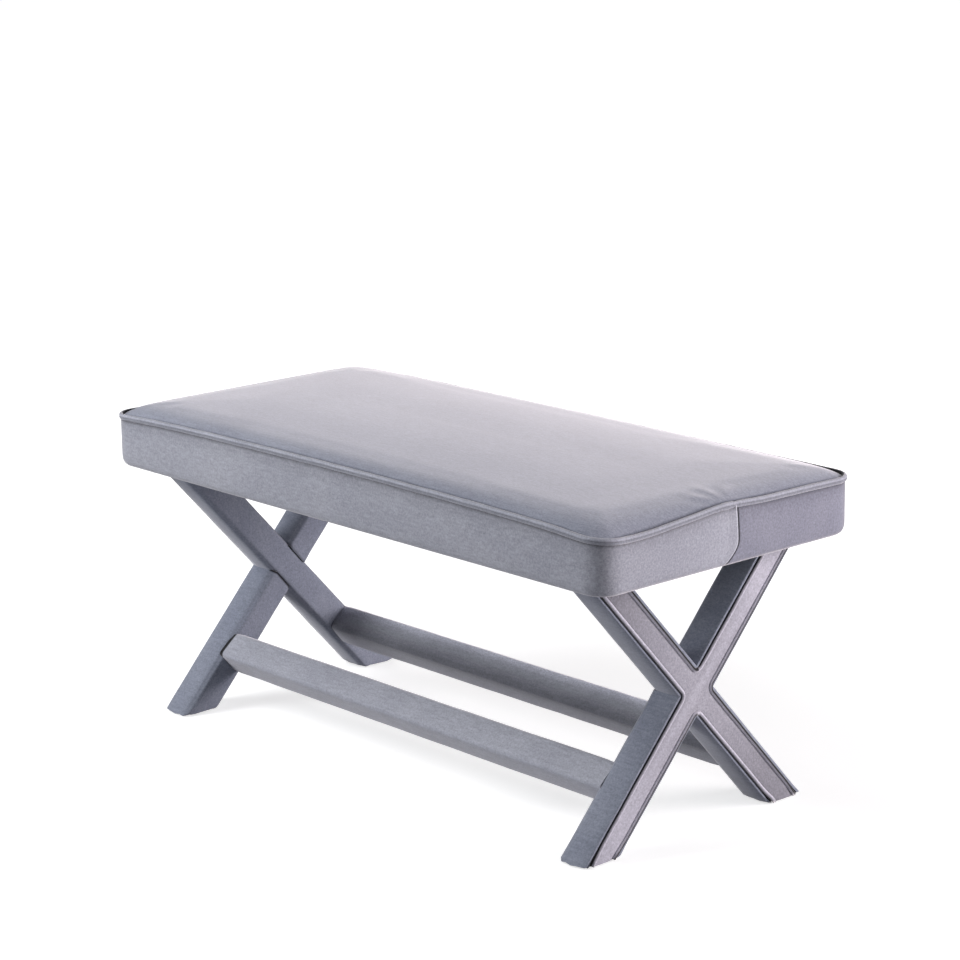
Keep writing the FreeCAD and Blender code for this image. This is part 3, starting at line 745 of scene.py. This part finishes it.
def cord_mesh(
    name, points, facing, radius, closed, tall=1.0, crease=0.0, swell=None, highlight=0.0, crest=0.0, gap=None
):
    """A cord along the points, creased in front; painted shade behind and in a gap, a painted highlight at a
    crest.
    """
    bm = bmesh.new()
    painted_shading = bm.verts.layers.float.new("painted_shading")
    rings = []
    for index, place in enumerate(points):
        before = points[index - 1] if index > 0 or closed else place
        after = points[(index + 1) % len(points)] if index < len(points) - 1 or closed else place
        out = facing[index]
        side = out.cross(after - before).normalized() * tall
        size = radius * (swell[index] if swell else 1)
        ring = []
        for step in range(cord_sides):
            turn = math.pi * (2 * step / cord_sides - 1)
            dent = bump_at(turn, crease_width)
            spot = (out * math.cos(turn) + side * math.sin(turn)) * size * (1 - crease * dent)
            vertex = bm.verts.new(place + spot)
            # Painted shade behind the cord, in its crease and on the side in a gap; a painted highlight at
            # the crest.
            depth = max(2 * crease * dent, ease(0.1, -0.5, math.cos(turn)))
            if gap:
                crest, gap_side, start = gap[index]
                depth = max(depth, ease(start, start + 0.4, gap_side * math.sin(turn)))
            vertex[painted_shading] = depth - highlight * bump_at(turn - crest, 0.45)
            ring.append(vertex)
        rings.append(ring)
    pairs = list(zip(rings, rings[1:]))
    if closed:
        pairs.append((rings[-1], rings[0]))
    else:
        bm.faces.new(rings[0])
        bm.faces.new(rings[-1])
    for near, far in pairs:
        for corners in zip(near, near[1:] + near[:1], far[1:] + far[:1], far):
            bm.faces.new(corners)
    return mesh_from(bm, name)


# %% Seat piping
piping_inset = 1.0 * MM
piping_raise = 1.2 * MM
piping_tall = 1.25
piping_crease = 0.2
# Strength of the piping's painted highlight, and where round the cord it lies.
piping_highlight = 0.4
piping_crest = 0.65
sewing_wander = 0.35 * MM
joint_swell = 0.14
joint_swell_spread = 9 * MM
joint_notch = 0.2
joint_notch_spread = 2.5 * MM


def square_walk(step_x, step_y):
    """Walks once round the square from -1 to 1."""
    along_x = round(2 / step_x)
    along_y = round(2 / step_y)
    for index in range(along_x):
        yield -1 + index * 2 / along_x, -1
    for index in range(along_y):
        yield 1, -1 + index * 2 / along_y
    for index in range(along_x):
        yield 1 - index * 2 / along_x, 1
    for index in range(along_y):
        yield -1, 1 - index * 2 / along_y


piping_line = []
piping_facing = []
piping_swell = []
for s, t in square_walk(piping_step / half_length, piping_step / half_width):
    flat = on_outline(s, t, side_draw)
    away = outward(on_outline(s, t, 0))
    inner = flat - away * piping_inset
    height = seam_height + seam_lift(flat.x, flat.y) + piping_raise
    wander = noise.noise(Vector((inner.x, inner.y, 0)) * 25) * sewing_wander
    piping_line.append(Vector((inner.x, inner.y, height + wander)))
    piping_facing.append(away.to_3d())
    on_right = ease(0.9 * half_length, half_length, flat.x)
    at_joint = bump_at(flat.y - joint_peak, joint_swell_spread) * on_right
    at_end = bump_at(flat.y - joint_place, joint_notch_spread) * on_right
    piping_swell.append(1 + joint_swell * at_joint - joint_notch * at_end)
add_piece(
    "seat_piping",
    cord_mesh(
        "seat_piping", piping_line, piping_facing, welt_radius, True,
        tall=piping_tall, crease=piping_crease, swell=piping_swell, highlight=piping_highlight, crest=piping_crest,
    ),
    velvet_piping,
    "seat_welt_cord",
)
print("seat piping points:", len(piping_line))

# %% [markdown]
# ## Leg frames
# Each leg frame is two bars that cross. Their padded sides are wrapped in velvet that turns over the
# outer edge and stops at a groove, and a piped X-shaped panel is set into that groove. A bar starts as a
# cube: its inner edges get a wide round, its outer edges a small one, and its outer face is inset and
# sunk to make the groove. The padding is thickest on the inner side, so the bar is a little deeper there
# than its packed cover.

# %% Leg sizes
leg_low, leg_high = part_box("right_leg_cover_through")
inner_swell = 6 * MM
leg_thickness = leg_high.x - leg_low.x + inner_swell
leg_outer = leg_high.x
leg_top = leg_high.z
foot_drop = 1.7 * MM
foot_height = leg_low.z - foot_drop
foot_place = max(mount["pos_m"][1] for mount in frame["record"]["mounts"])
crossing_height = 188 * MM
arm_half_width = 23 * MM
arm_angle = math.atan2(crossing_height - leg_low.z, foot_place)
inner_round = 8 * MM
outer_round = 1.3 * MM
rim_width = 0.3 * MM
front_rim = 1.2 * MM
rear_rim = 2 * MM
# How deep each step of the groove sinks, and how much painted shade its walls get.
groove_steps = ((0.25 * MM, 0.9), (3.75 * MM, 1.0))
print("arm angle:", round(math.degrees(arm_angle), 2), "outer face at", round(leg_outer, 4))

# %% Padded bar
side_bulge = 1.8 * MM
bar_step = 10 * MM
foot_round = 4.5 * MM
cloth_wave = 0.35 * MM


def long_edges(bm, side):
    """The edges along the bar on its outer or inner side."""
    return [
        edge for edge in bm.edges
        if all(vertex.co.x * side > 0 for vertex in edge.verts)
        and abs(edge.verts[0].co.z - edge.verts[1].co.z) > 0.1
    ]


def padded_bar(length):
    """An upright bar with round inner edges, a groove in its outer face and sides that bulge a little."""
    bm = bmesh.new()
    painted_shading = bm.verts.layers.float.new("painted_shading")
    bmesh.ops.create_cube(bm, size=1)
    bmesh.ops.scale(bm, vec=(leg_thickness, 2 * arm_half_width, length), verts=bm.verts)
    for side, radius, segments in ((-1, inner_round, 5), (1, outer_round, 3)):
        bmesh.ops.bevel(
            bm, geom=long_edges(bm, side), offset=radius, segments=segments,
            profile=0.5, affect="EDGES", material=-1,
        )
    outer = [face for face in bm.faces if face.normal.x > 0.99]
    bmesh.ops.inset_region(bm, faces=outer, thickness=rim_width, use_even_offset=True)
    # The groove's walls get painted shade.
    for depth, dark in groove_steps:
        sunk = bmesh.ops.extrude_face_region(bm, geom=outer)["geom"]
        bmesh.ops.delete(bm, geom=outer, context="FACES")
        outer = pick(sunk, bmesh.types.BMFace)
        for vertex in pick(sunk, bmesh.types.BMVert):
            vertex.co.x -= depth
            vertex[painted_shading] = dark
    rim_edge = arm_half_width - outer_round - rim_width
    for vertex in bm.verts:
        if abs(vertex.co.y - rim_edge) < 0.1 * MM:
            vertex.co.y -= rear_rim
        elif abs(vertex.co.y + rim_edge) < 0.1 * MM:
            vertex.co.y += front_rim
    runs = [edge for edge in bm.edges if abs(edge.verts[0].co.z - edge.verts[1].co.z) > 0.5 * length]
    bmesh.ops.subdivide_edges(bm, edges=runs, cuts=round(length / bar_step), use_grid_fill=True)
    for share in (0.3, 0.5, 0.7):
        cut_row(bm, (leg_thickness * (share - 0.5), 0, 0), (1, 0, 0))
    half = leg_thickness / 2
    for vertex in bm.verts:
        if abs(vertex.co.y) > arm_half_width - 0.1 * MM:
            vertex.co.y += math.copysign(side_bulge * (1 - (vertex.co.x / half) ** 2), vertex.co.y)
    return bm


def across_arm(lean):
    """The direction across an arm that leans back (1) or forward (-1), towards the rear."""
    return Vector((0, math.sin(arm_angle), -lean * math.cos(arm_angle)))


def along_arm(lean):
    """The direction up an arm."""
    return Vector((0, lean * math.cos(arm_angle), math.sin(arm_angle)))


crossing = Vector((leg_outer - leg_thickness / 2, 0, crossing_height))
print("arm direction:", [round(v, 3) for v in along_arm(1)])

# %% [markdown]
# ## Arms of a leg frame
# On the inner face one arm runs through, and the covers of the other arm's two halves lap over it in a
# shallow curve, with painted shade along the seam. So one bar is cut level at the seat and at the floor,
# and two more are also cut off near the first one's sides, and their ends are bent and raised. The velvet
# at a foot is gathered under it, so the foot's end is drawn in and scalloped.

# %% Leg arms
arm_reach = 0.62
lap_over = 4.5 * MM
lap_curve = 5 * MM
lap_proud = 0.8 * MM
lap_reach = 26 * MM
lap_rows = (1.2 * MM, 2.6 * MM, 4.2 * MM)
pucker_height = 16 * MM
pucker_depth = 0.8 * MM
groove_fill = 3 * MM
scallop_height = 1.6 * MM
scallop_reach = 4 * MM
foot_rows = [rise * MM for rise in (0.8, 2, 4, 7, 11)]


def cut_off(bm, place, direction):
    """Cuts away what lies beyond a plane and closes the cut."""
    everything = bm.verts[:] + bm.edges[:] + bm.faces[:]
    cut = bmesh.ops.bisect_plane(
        bm, geom=everything, dist=1e-6, plane_co=place, plane_no=direction, clear_outer=True
    )["geom_cut"]
    bmesh.ops.contextual_create(bm, geom=pick(cut, bmesh.types.BMEdge))


def gather_foot(bm, lean):
    """Draws in the end of the arm at the floor, closes its groove there and puckers its edge."""
    painted_shading = bm.verts.layers.float["painted_shading"]
    for rise in foot_rows:
        cut_row(bm, (0, 0, foot_height + rise), (0, 0, 1))
    for vertex in bm.verts:
        rise = vertex.co.z - foot_height
        middle = crossing + along_arm(lean) * ((vertex.co.z - crossing_height) / math.sin(arm_angle))
        offset = vertex.co - middle
        around = math.atan2(offset.x, offset.y)
        if rise < foot_round:
            drop = 1 - rise / foot_round
            inset = 1 - 0.1 * (1 - math.sqrt(max(1 - drop * drop, 0)))
            offset = Vector((offset.x * inset, offset.y * inset, 0))
        low = 1 - ease(0, pucker_height, rise)
        if vertex[painted_shading] > 0.9:
            offset.x += groove_fill * low
        ripple = math.sin(around * 17) * math.sin(around * 5 + 1)
        offset += Vector((offset.x, offset.y, 0)).normalized() * ripple * pucker_depth * low
        vertex.co = middle + offset
        scallop = scallop_height * (0.5 + 0.5 * math.sin(around * 13 + lean))
        vertex.co.z = foot_height + rise + scallop * (1 - ease(0, scallop_reach, rise))


def lap_end(bm, side):
    """Cuts a half arm off where it laps over the arm that runs through, in a curve on the inner face."""
    painted_shading = bm.verts.layers.float["painted_shading"]
    away = across_arm(-1) * side
    end = arm_half_width - lap_over
    cut_off(bm, crossing + away * end, -away)
    for row in lap_rows:
        cut_row(bm, crossing + away * (end + row), away)
    for vertex in bm.verts:
        from_end = (vertex.co - crossing).dot(away) - end
        along = (vertex.co - crossing).dot(along_arm(-1)) / arm_half_width
        inward = ease(crossing.x, crossing.x - leg_thickness / 2 + 2 * MM, vertex.co.x)
        near = inward * (1 - ease(0, lap_reach, from_end))
        # Painted shade along the lap seam, darker at the lower half's end.
        seam = 1 - ease(lap_rows[0], lap_rows[-1], from_end)
        shade = 0.5 * inward if side > 0 else 0.7 + 0.3 * inward
        vertex[painted_shading] = max(vertex[painted_shading], shade * seam)
        vertex.co += along_arm(1) * side * lap_curve * along * along * near
        vertex.co.x -= lap_proud * near


def leg_arm(lean, upper_only=False, lower_only=False):
    """One padded arm of the right leg frame, whole or one half of it."""
    bm = padded_bar(arm_reach)
    turn = Matrix.Rotation(-lean * (math.pi / 2 - arm_angle), 3, "X")
    bmesh.ops.rotate(bm, cent=(0, 0, 0), matrix=turn, verts=bm.verts)
    bmesh.ops.translate(bm, vec=crossing, verts=bm.verts)
    if upper_only or lower_only:
        lap_end(bm, 1 if upper_only else -1)
    if not lower_only:
        cut_off(bm, Vector((0, 0, leg_top)), Vector((0, 0, 1)))
    if not upper_only:
        cut_off(bm, Vector((0, 0, foot_height)), Vector((0, 0, -1)))
        gather_foot(bm, lean)
    for vertex in bm.verts:
        wave = noise.noise(vertex.co * 22) * cloth_wave
        vertex.co += Vector((wave, noise.noise(vertex.co * 22 + Vector((7, 3, 1))) * cloth_wave, 0))
        vertex.co.z = max(vertex.co.z, foot_height)
    return bm


def add_pair(name, build, material, *nodes):
    """Makes a piece of the right leg frame and its mirror image on the left."""
    made = []
    for side, turn in (("right", 1), ("left", -1)):
        bm = build()
        bmesh.ops.scale(bm, vec=(turn, 1, 1), verts=bm.verts)
        mesh = mesh_from(bm, f"{side}_{name}")
        mesh.set_sharp_from_angle(angle=math.radians(55))
        made.append(add_piece(f"{side}_{name}", mesh, material, *[f"{side}_{node}" for node in nodes]))
    return made


leg_arms = add_pair(
    "arm_through", lambda: leg_arm(-1), velvet_leg, "leg_cover_through", "leg_padding_through"
)
leg_arms += add_pair(
    "arm_upper", lambda: leg_arm(1, upper_only=True), velvet_leg, "leg_cover_upper", "leg_padding_upper"
)
leg_arms += add_pair(
    "arm_lower", lambda: leg_arm(1, lower_only=True), velvet_leg, "leg_cover_lower", "leg_padding_lower"
)
print("leg arms:", [piece.name for piece in leg_arms])

# %% [markdown]
# ## Piped panel on each leg frame
# The outer face is one X of velvet with a piping cord round each of its four notches. Both follow the
# same line: down one arm, round the notch in a small curve, and out along the other arm. One function
# gives that line at any distance from the arms' middles, so the panel and its four cords always fit each
# other. The panel carries painted light: painted shade on its upper front and lower rear arms and on its
# edges, weaker on the rear sides, and a painted highlight on its other two arms.

# %% Notch line
notch_steps = 6
run_steps = 26
foot_turn = 26 * MM
foot_turn_in = 3.0 * MM


def notch_line(first, second, offset, bend, top_end, foot_end):
    """The line in along one arm direction, round the notch and out along the other."""
    opening = math.acos(max(min(first.dot(second), 1), -1))
    bisector = (first + second).normalized()
    apex = crossing + bisector * (offset / math.sin(opening / 2))
    straight = bend / math.tan(opening / 2)
    centre = apex + bisector * (bend / math.sin(opening / 2))
    points = []
    for arm, ahead in ((first, False), (second, True)):
        end = top_end if arm.z > 0 else foot_end
        reach = (end - apex.z) / arm.z
        stretch = (reach - straight) / run_steps
        run = [apex + arm * (straight + stretch * step) for step in range(run_steps + 1)]
        if not ahead:
            points += reversed(run)
            start = points.pop() - centre
            finish = (apex + second * straight) - centre
            for step in range(notch_steps):
                turned = start.normalized().slerp(finish.normalized(), step / notch_steps)
                points.append(centre + turned * bend)
        else:
            points += run
    for point in points:
        low = 1 - ease(0, foot_turn, point.z - foot_height)
        if point.z < crossing_height:
            lean = -1 if point.y > 0 else 1
            across = (point - crossing).dot(across_arm(lean))
            point.y -= math.copysign(foot_turn_in * low, across)
    return points


def on_rear_side(point):
    """Whether a point of such a line lies along the rear side of its arm."""
    lean = -1 if (point.y < 0) == (point.z > crossing_height) else 1
    return (point - crossing).dot(across_arm(lean)) > 0


front_up, rear_up = along_arm(-1), along_arm(1)
notches = {
    "top": (front_up, rear_up),
    "rear": (rear_up, -front_up),
    "bottom": (-front_up, -rear_up),
    "front": (-rear_up, front_up),
}
print("notches:", list(notches))

# %% Leg panels
panel_half_width = 14.2 * MM
panel_bend = 13 * MM
# How strongly painted light darkens two arms of the panel and lightens the other two.
panel_painted_light = 0.3
rear_edge_share = 0.25
# Each ring: how far it is inset, how far it rises, and its painted shade.
pillow_rings = ((0, -4, 1), (0, -0.2, 1), (1.2, 0.3, 0.06), (3, 0.6, 0), (6.5, 0.9, 0))


def leg_panel():
    """The X of velvet, thick enough to fill its groove: rings rise over its edge to a pillowed face."""
    bm = bmesh.new()
    painted_shading = bm.verts.layers.float.new("painted_shading")
    rings = []
    for inset, rise, dark in pillow_rings:
        offset = panel_half_width - inset * MM
        bend = panel_bend + inset * MM
        loop = []
        for first, second in notches.values():
            for point in notch_line(first, second, offset, bend, leg_top, foot_height + 1 * MM):
                vertex = bm.verts.new((leg_outer + rise * MM, point.y, point.z))
                # Painted shade on the edge rings, weaker on rear sides, and painted shade or highlight by
                # arm.
                slant = (point.y / foot_place) * (point.z - crossing_height) / crossing_height
                depth = dark * (rear_edge_share if on_rear_side(point) else 1)
                vertex[painted_shading] = depth - panel_painted_light * min(max(2 * slant, -1), 1)
                loop.append(vertex)
        rings.append([bm.edges.new(pair) for pair in zip(loop, loop[1:] + loop[:1])])
    for lower, upper in zip(rings, rings[1:]):
        bmesh.ops.bridge_loops(bm, edges=lower + upper)
    for ring in (rings[0], rings[-1]):
        bmesh.ops.contextual_create(bm, geom=ring)
    return bm


leg_panels = add_pair("leg_panel", leg_panel, velvet_leg_panel, "leg_outer_panel")
print("leg panels:", [piece.name for piece in leg_panels])

# %% Leg piping
leg_piping_offset = 16.1 * MM
leg_piping_bend = 10 * MM
leg_piping_radius = 3.0 * MM
leg_piping_proud = 0.3 * MM
# Strength of the painted highlight on the leg cords.
leg_piping_highlight = 0.7
# Where round each cord its painted highlight lies, and where the painted shade on its groove side starts, on
# an arm's front and rear sides.
front_lay = (-0.35, 0.65)
rear_lay = (-0.95, -0.55)

for side, turn in (("right", 1), ("left", -1)):
    for notch, (first, second) in notches.items():
        line = notch_line(first, second, leg_piping_offset, leg_piping_bend, leg_top, foot_height + 2 * MM)
        for point in line:
            wander = noise.noise(point * 30) * sewing_wander
            point.x = turn * (leg_outer + leg_piping_proud + wander)
            point.y += noise.noise(point * 30 + Vector((5, 5, 5))) * sewing_wander
        name = f"{side}_piping_{notch}"
        facing = [Vector((turn, 0, 0))] * len(line)
        # Painted shade on each cord's side in the groove and a painted highlight at its crest.
        lay = [rear_lay if on_rear_side(point) else front_lay for point in line]
        gap = [(turn * crest, turn, start) for crest, start in lay]
        cord = cord_mesh(name, line, facing, leg_piping_radius, False, highlight=leg_piping_highlight, gap=gap)
        add_piece(name, cord, velvet_leg_panel, f"{side}_leg_welt_{notch}")

# %% [markdown]
# ## Stretchers
# Two square bars run from frame to frame, wrapped in velvet over thin padding. A cube is stretched to
# length and its long edges rounded; its sides swell a little, and at each end the wrap is pinched where
# it meets the leg. The photograph shows both bars turned a little further than the arms, and a little
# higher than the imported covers.

# %% Stretchers
stretcher_side = 43 * MM
stretcher_turns = {"front": 39.5, "rear": -50.5}
stretcher_rise = 3.5 * MM
stretcher_round = 6 * MM
stretcher_gap = inner_swell - 0.8 * MM
stretcher_swell = 0.8 * MM
stretcher_pinch = 0.9 * MM
stretcher_pinch_reach = 14 * MM
# Painted shade along the rear bar's lower edge and a painted highlight along its upper edge.
lower_edge_shade = 0.55
lower_edge_spread = 16 * MM
upper_edge_highlight = 1.4
upper_edge_spread = 11 * MM


def stretcher(name, node, turn, brushed_and_painted_light):
    """A padded square bar, turned much like the arms that it joins; a flag adds painted light to two edges.
    """
    low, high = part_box(node)
    length = high.x - low.x
    half = stretcher_side / 2
    bm = bmesh.new()
    painted_shading = bm.verts.layers.float.new("painted_shading")
    bmesh.ops.create_cube(bm, size=1)
    bmesh.ops.scale(bm, vec=(length, stretcher_side, stretcher_side), verts=bm.verts)
    runs = [edge for edge in bm.edges if abs(edge.verts[0].co.x - edge.verts[1].co.x) > 0.1]
    bmesh.ops.bevel(
        bm, geom=runs, offset=stretcher_round, segments=5, profile=0.5, affect="EDGES", material=-1
    )
    runs = [edge for edge in bm.edges if abs(edge.verts[0].co.x - edge.verts[1].co.x) > 0.1]
    bmesh.ops.subdivide_edges(bm, edges=runs, cuts=round(length / bar_step), use_grid_fill=True)
    for axis in ((0, 1, 0), (0, 0, 1)):
        for share in (-0.15, 0.15):
            cut_row(bm, Vector(axis) * stretcher_side * share, axis)
    for from_end in (stretcher_gap, stretcher_gap + 2 * MM):
        for side in (-1, 1):
            cut_row(bm, (side * (length / 2 - from_end), 0, 0), (1, 0, 0))
    for vertex in bm.verts:
        across = Vector((0, vertex.co.y, vertex.co.z))
        flatness = 1 - (min(abs(across.y), abs(across.z)) / half) ** 2
        from_end = length / 2 - abs(vertex.co.x)
        pinch = stretcher_pinch * (1 - ease(stretcher_gap, stretcher_gap + stretcher_pinch_reach, from_end))
        # Painted shade at the left end, where the bar meets the leg.
        vertex[painted_shading] = 1 if from_end < stretcher_gap + 0.1 * MM and vertex.co.x < 0 else 0
        lower_edge = bump_at(math.hypot(across.y + half, across.z + half), lower_edge_spread)
        upper_edge = bump_at(math.hypot(across.y + half, across.z - half), upper_edge_spread)
        # Painted shade at the lower edge and a painted highlight at the upper one, on the rear bar only.
        vertex[painted_shading] += brushed_and_painted_light * (lower_edge_shade * lower_edge - upper_edge_highlight * upper_edge)
        wave = noise.noise(vertex.co * 18) * cloth_wave
        if across.length > 0:
            vertex.co += across.normalized() * (stretcher_swell * flatness - pinch + wave)
    bmesh.ops.rotate(bm, cent=(0, 0, 0), matrix=Matrix.Rotation(turn, 3, "X"), verts=bm.verts)
    bmesh.ops.translate(bm, vec=(low + high) / 2 + Vector((0, 0, stretcher_rise)), verts=bm.verts)
    mesh = mesh_from(bm, name)
    mesh.set_sharp_from_angle(angle=math.radians(55))
    piece = add_piece(name, mesh, velvet_stretcher, node, node.replace("cover", "padding"))
    return piece


for place, turn in stretcher_turns.items():
    # Only the rear bar gets painted light on its edges.
    brushed_and_painted_light = 1 if place == "rear" else 0
    made = stretcher(f"stretcher_{place}", f"stretcher_cover_{place}", math.radians(turn), brushed_and_painted_light)
    print(made.name, len(made.data.polygons), "faces")

# %% [markdown]
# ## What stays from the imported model
# The rails, deck, screws, dust cover and glides are rigid and already have the right shapes, so they stay
# and only get a finish. Wood has long grain lines, plywood a broader figure, plated steel a brushed
# gloss, and the dust cover a felted surface. Each is a small material of its own, and a table of words in
# the node names says which.

# %% Finishes of the hidden and underside pieces
def grained(name, dark, light, stretch, roughness, metal=0.0):
    """A finish with streaks: noise stretched along one direction between two colours."""
    material = bpy.data.materials.new(name)
    material.use_nodes = True
    nodes = material.node_tree.nodes
    link = material.node_tree.links.new
    shader = nodes["Principled BSDF"]
    shader.inputs["Roughness"].default_value = roughness
    shader.inputs["Metallic"].default_value = metal
    place = nodes.new("ShaderNodeTexCoord")
    turned = nodes.new("ShaderNodeMapping")
    turned.inputs["Scale"].default_value = stretch
    streaks = new_node(nodes, "ShaderNodeTexNoise", Scale=1.0, Detail=6.0, Roughness=0.6, Distortion=0.4)
    colours = nodes.new("ShaderNodeValToRGB")
    colours.color_ramp.elements[0].position = 0.35
    colours.color_ramp.elements[0].color = (*dark, 1)
    colours.color_ramp.elements[1].position = 0.68
    colours.color_ramp.elements[1].color = (*light, 1)
    bump = new_node(nodes, "ShaderNodeBump", Strength=0.15, Distance=0.3 * MM)
    link(place.outputs["Object"], turned.inputs["Vector"])
    link(turned.outputs["Vector"], streaks.inputs["Vector"])
    link(streaks.outputs["Fac"], colours.inputs["Fac"])
    link(colours.outputs["Color"], shader.inputs["Base Color"])
    link(streaks.outputs["Fac"], bump.inputs["Height"])
    link(bump.outputs["Normal"], shader.inputs["Normal"])
    return material


finishes = {
    "timber": grained("planed_hardwood", (0.42, 0.28, 0.16), (0.66, 0.49, 0.32), (8, 90, 90), 0.55),
    "plywood": grained("sanded_plywood", (0.58, 0.44, 0.28), (0.76, 0.62, 0.44), (6, 40, 160), 0.6),
    "cambric": grained("black_cambric", (0.02, 0.02, 0.024), (0.05, 0.05, 0.056), (900, 900, 900), 0.9),
    "steel": grained("plated_steel", (0.5, 0.5, 0.52), (0.66, 0.66, 0.68), (300, 300, 60), 0.32, 1.0),
    "glide_plastic": grained("black_plastic", (0.06, 0.06, 0.065), (0.1, 0.1, 0.105), (500, 500, 500), 0.5),
}
words = {
    "glides": "glide_plastic",
    "dust_cover_tacks": "steel",
    "dust_cover": "cambric",
    "deck_board": "plywood",
    "screws": "steel",
    "bolts": "steel",
    "nuts": "steel",
}
counts = {}
for name, node in frame["nodes"].items():
    finish = next((value for word, value in words.items() if word in name), "timber")
    node.data.materials.clear()
    node.data.materials.append(finishes[finish])
    counts[finish] = counts.get(finish, 0) + 1
print("finishes:", counts)
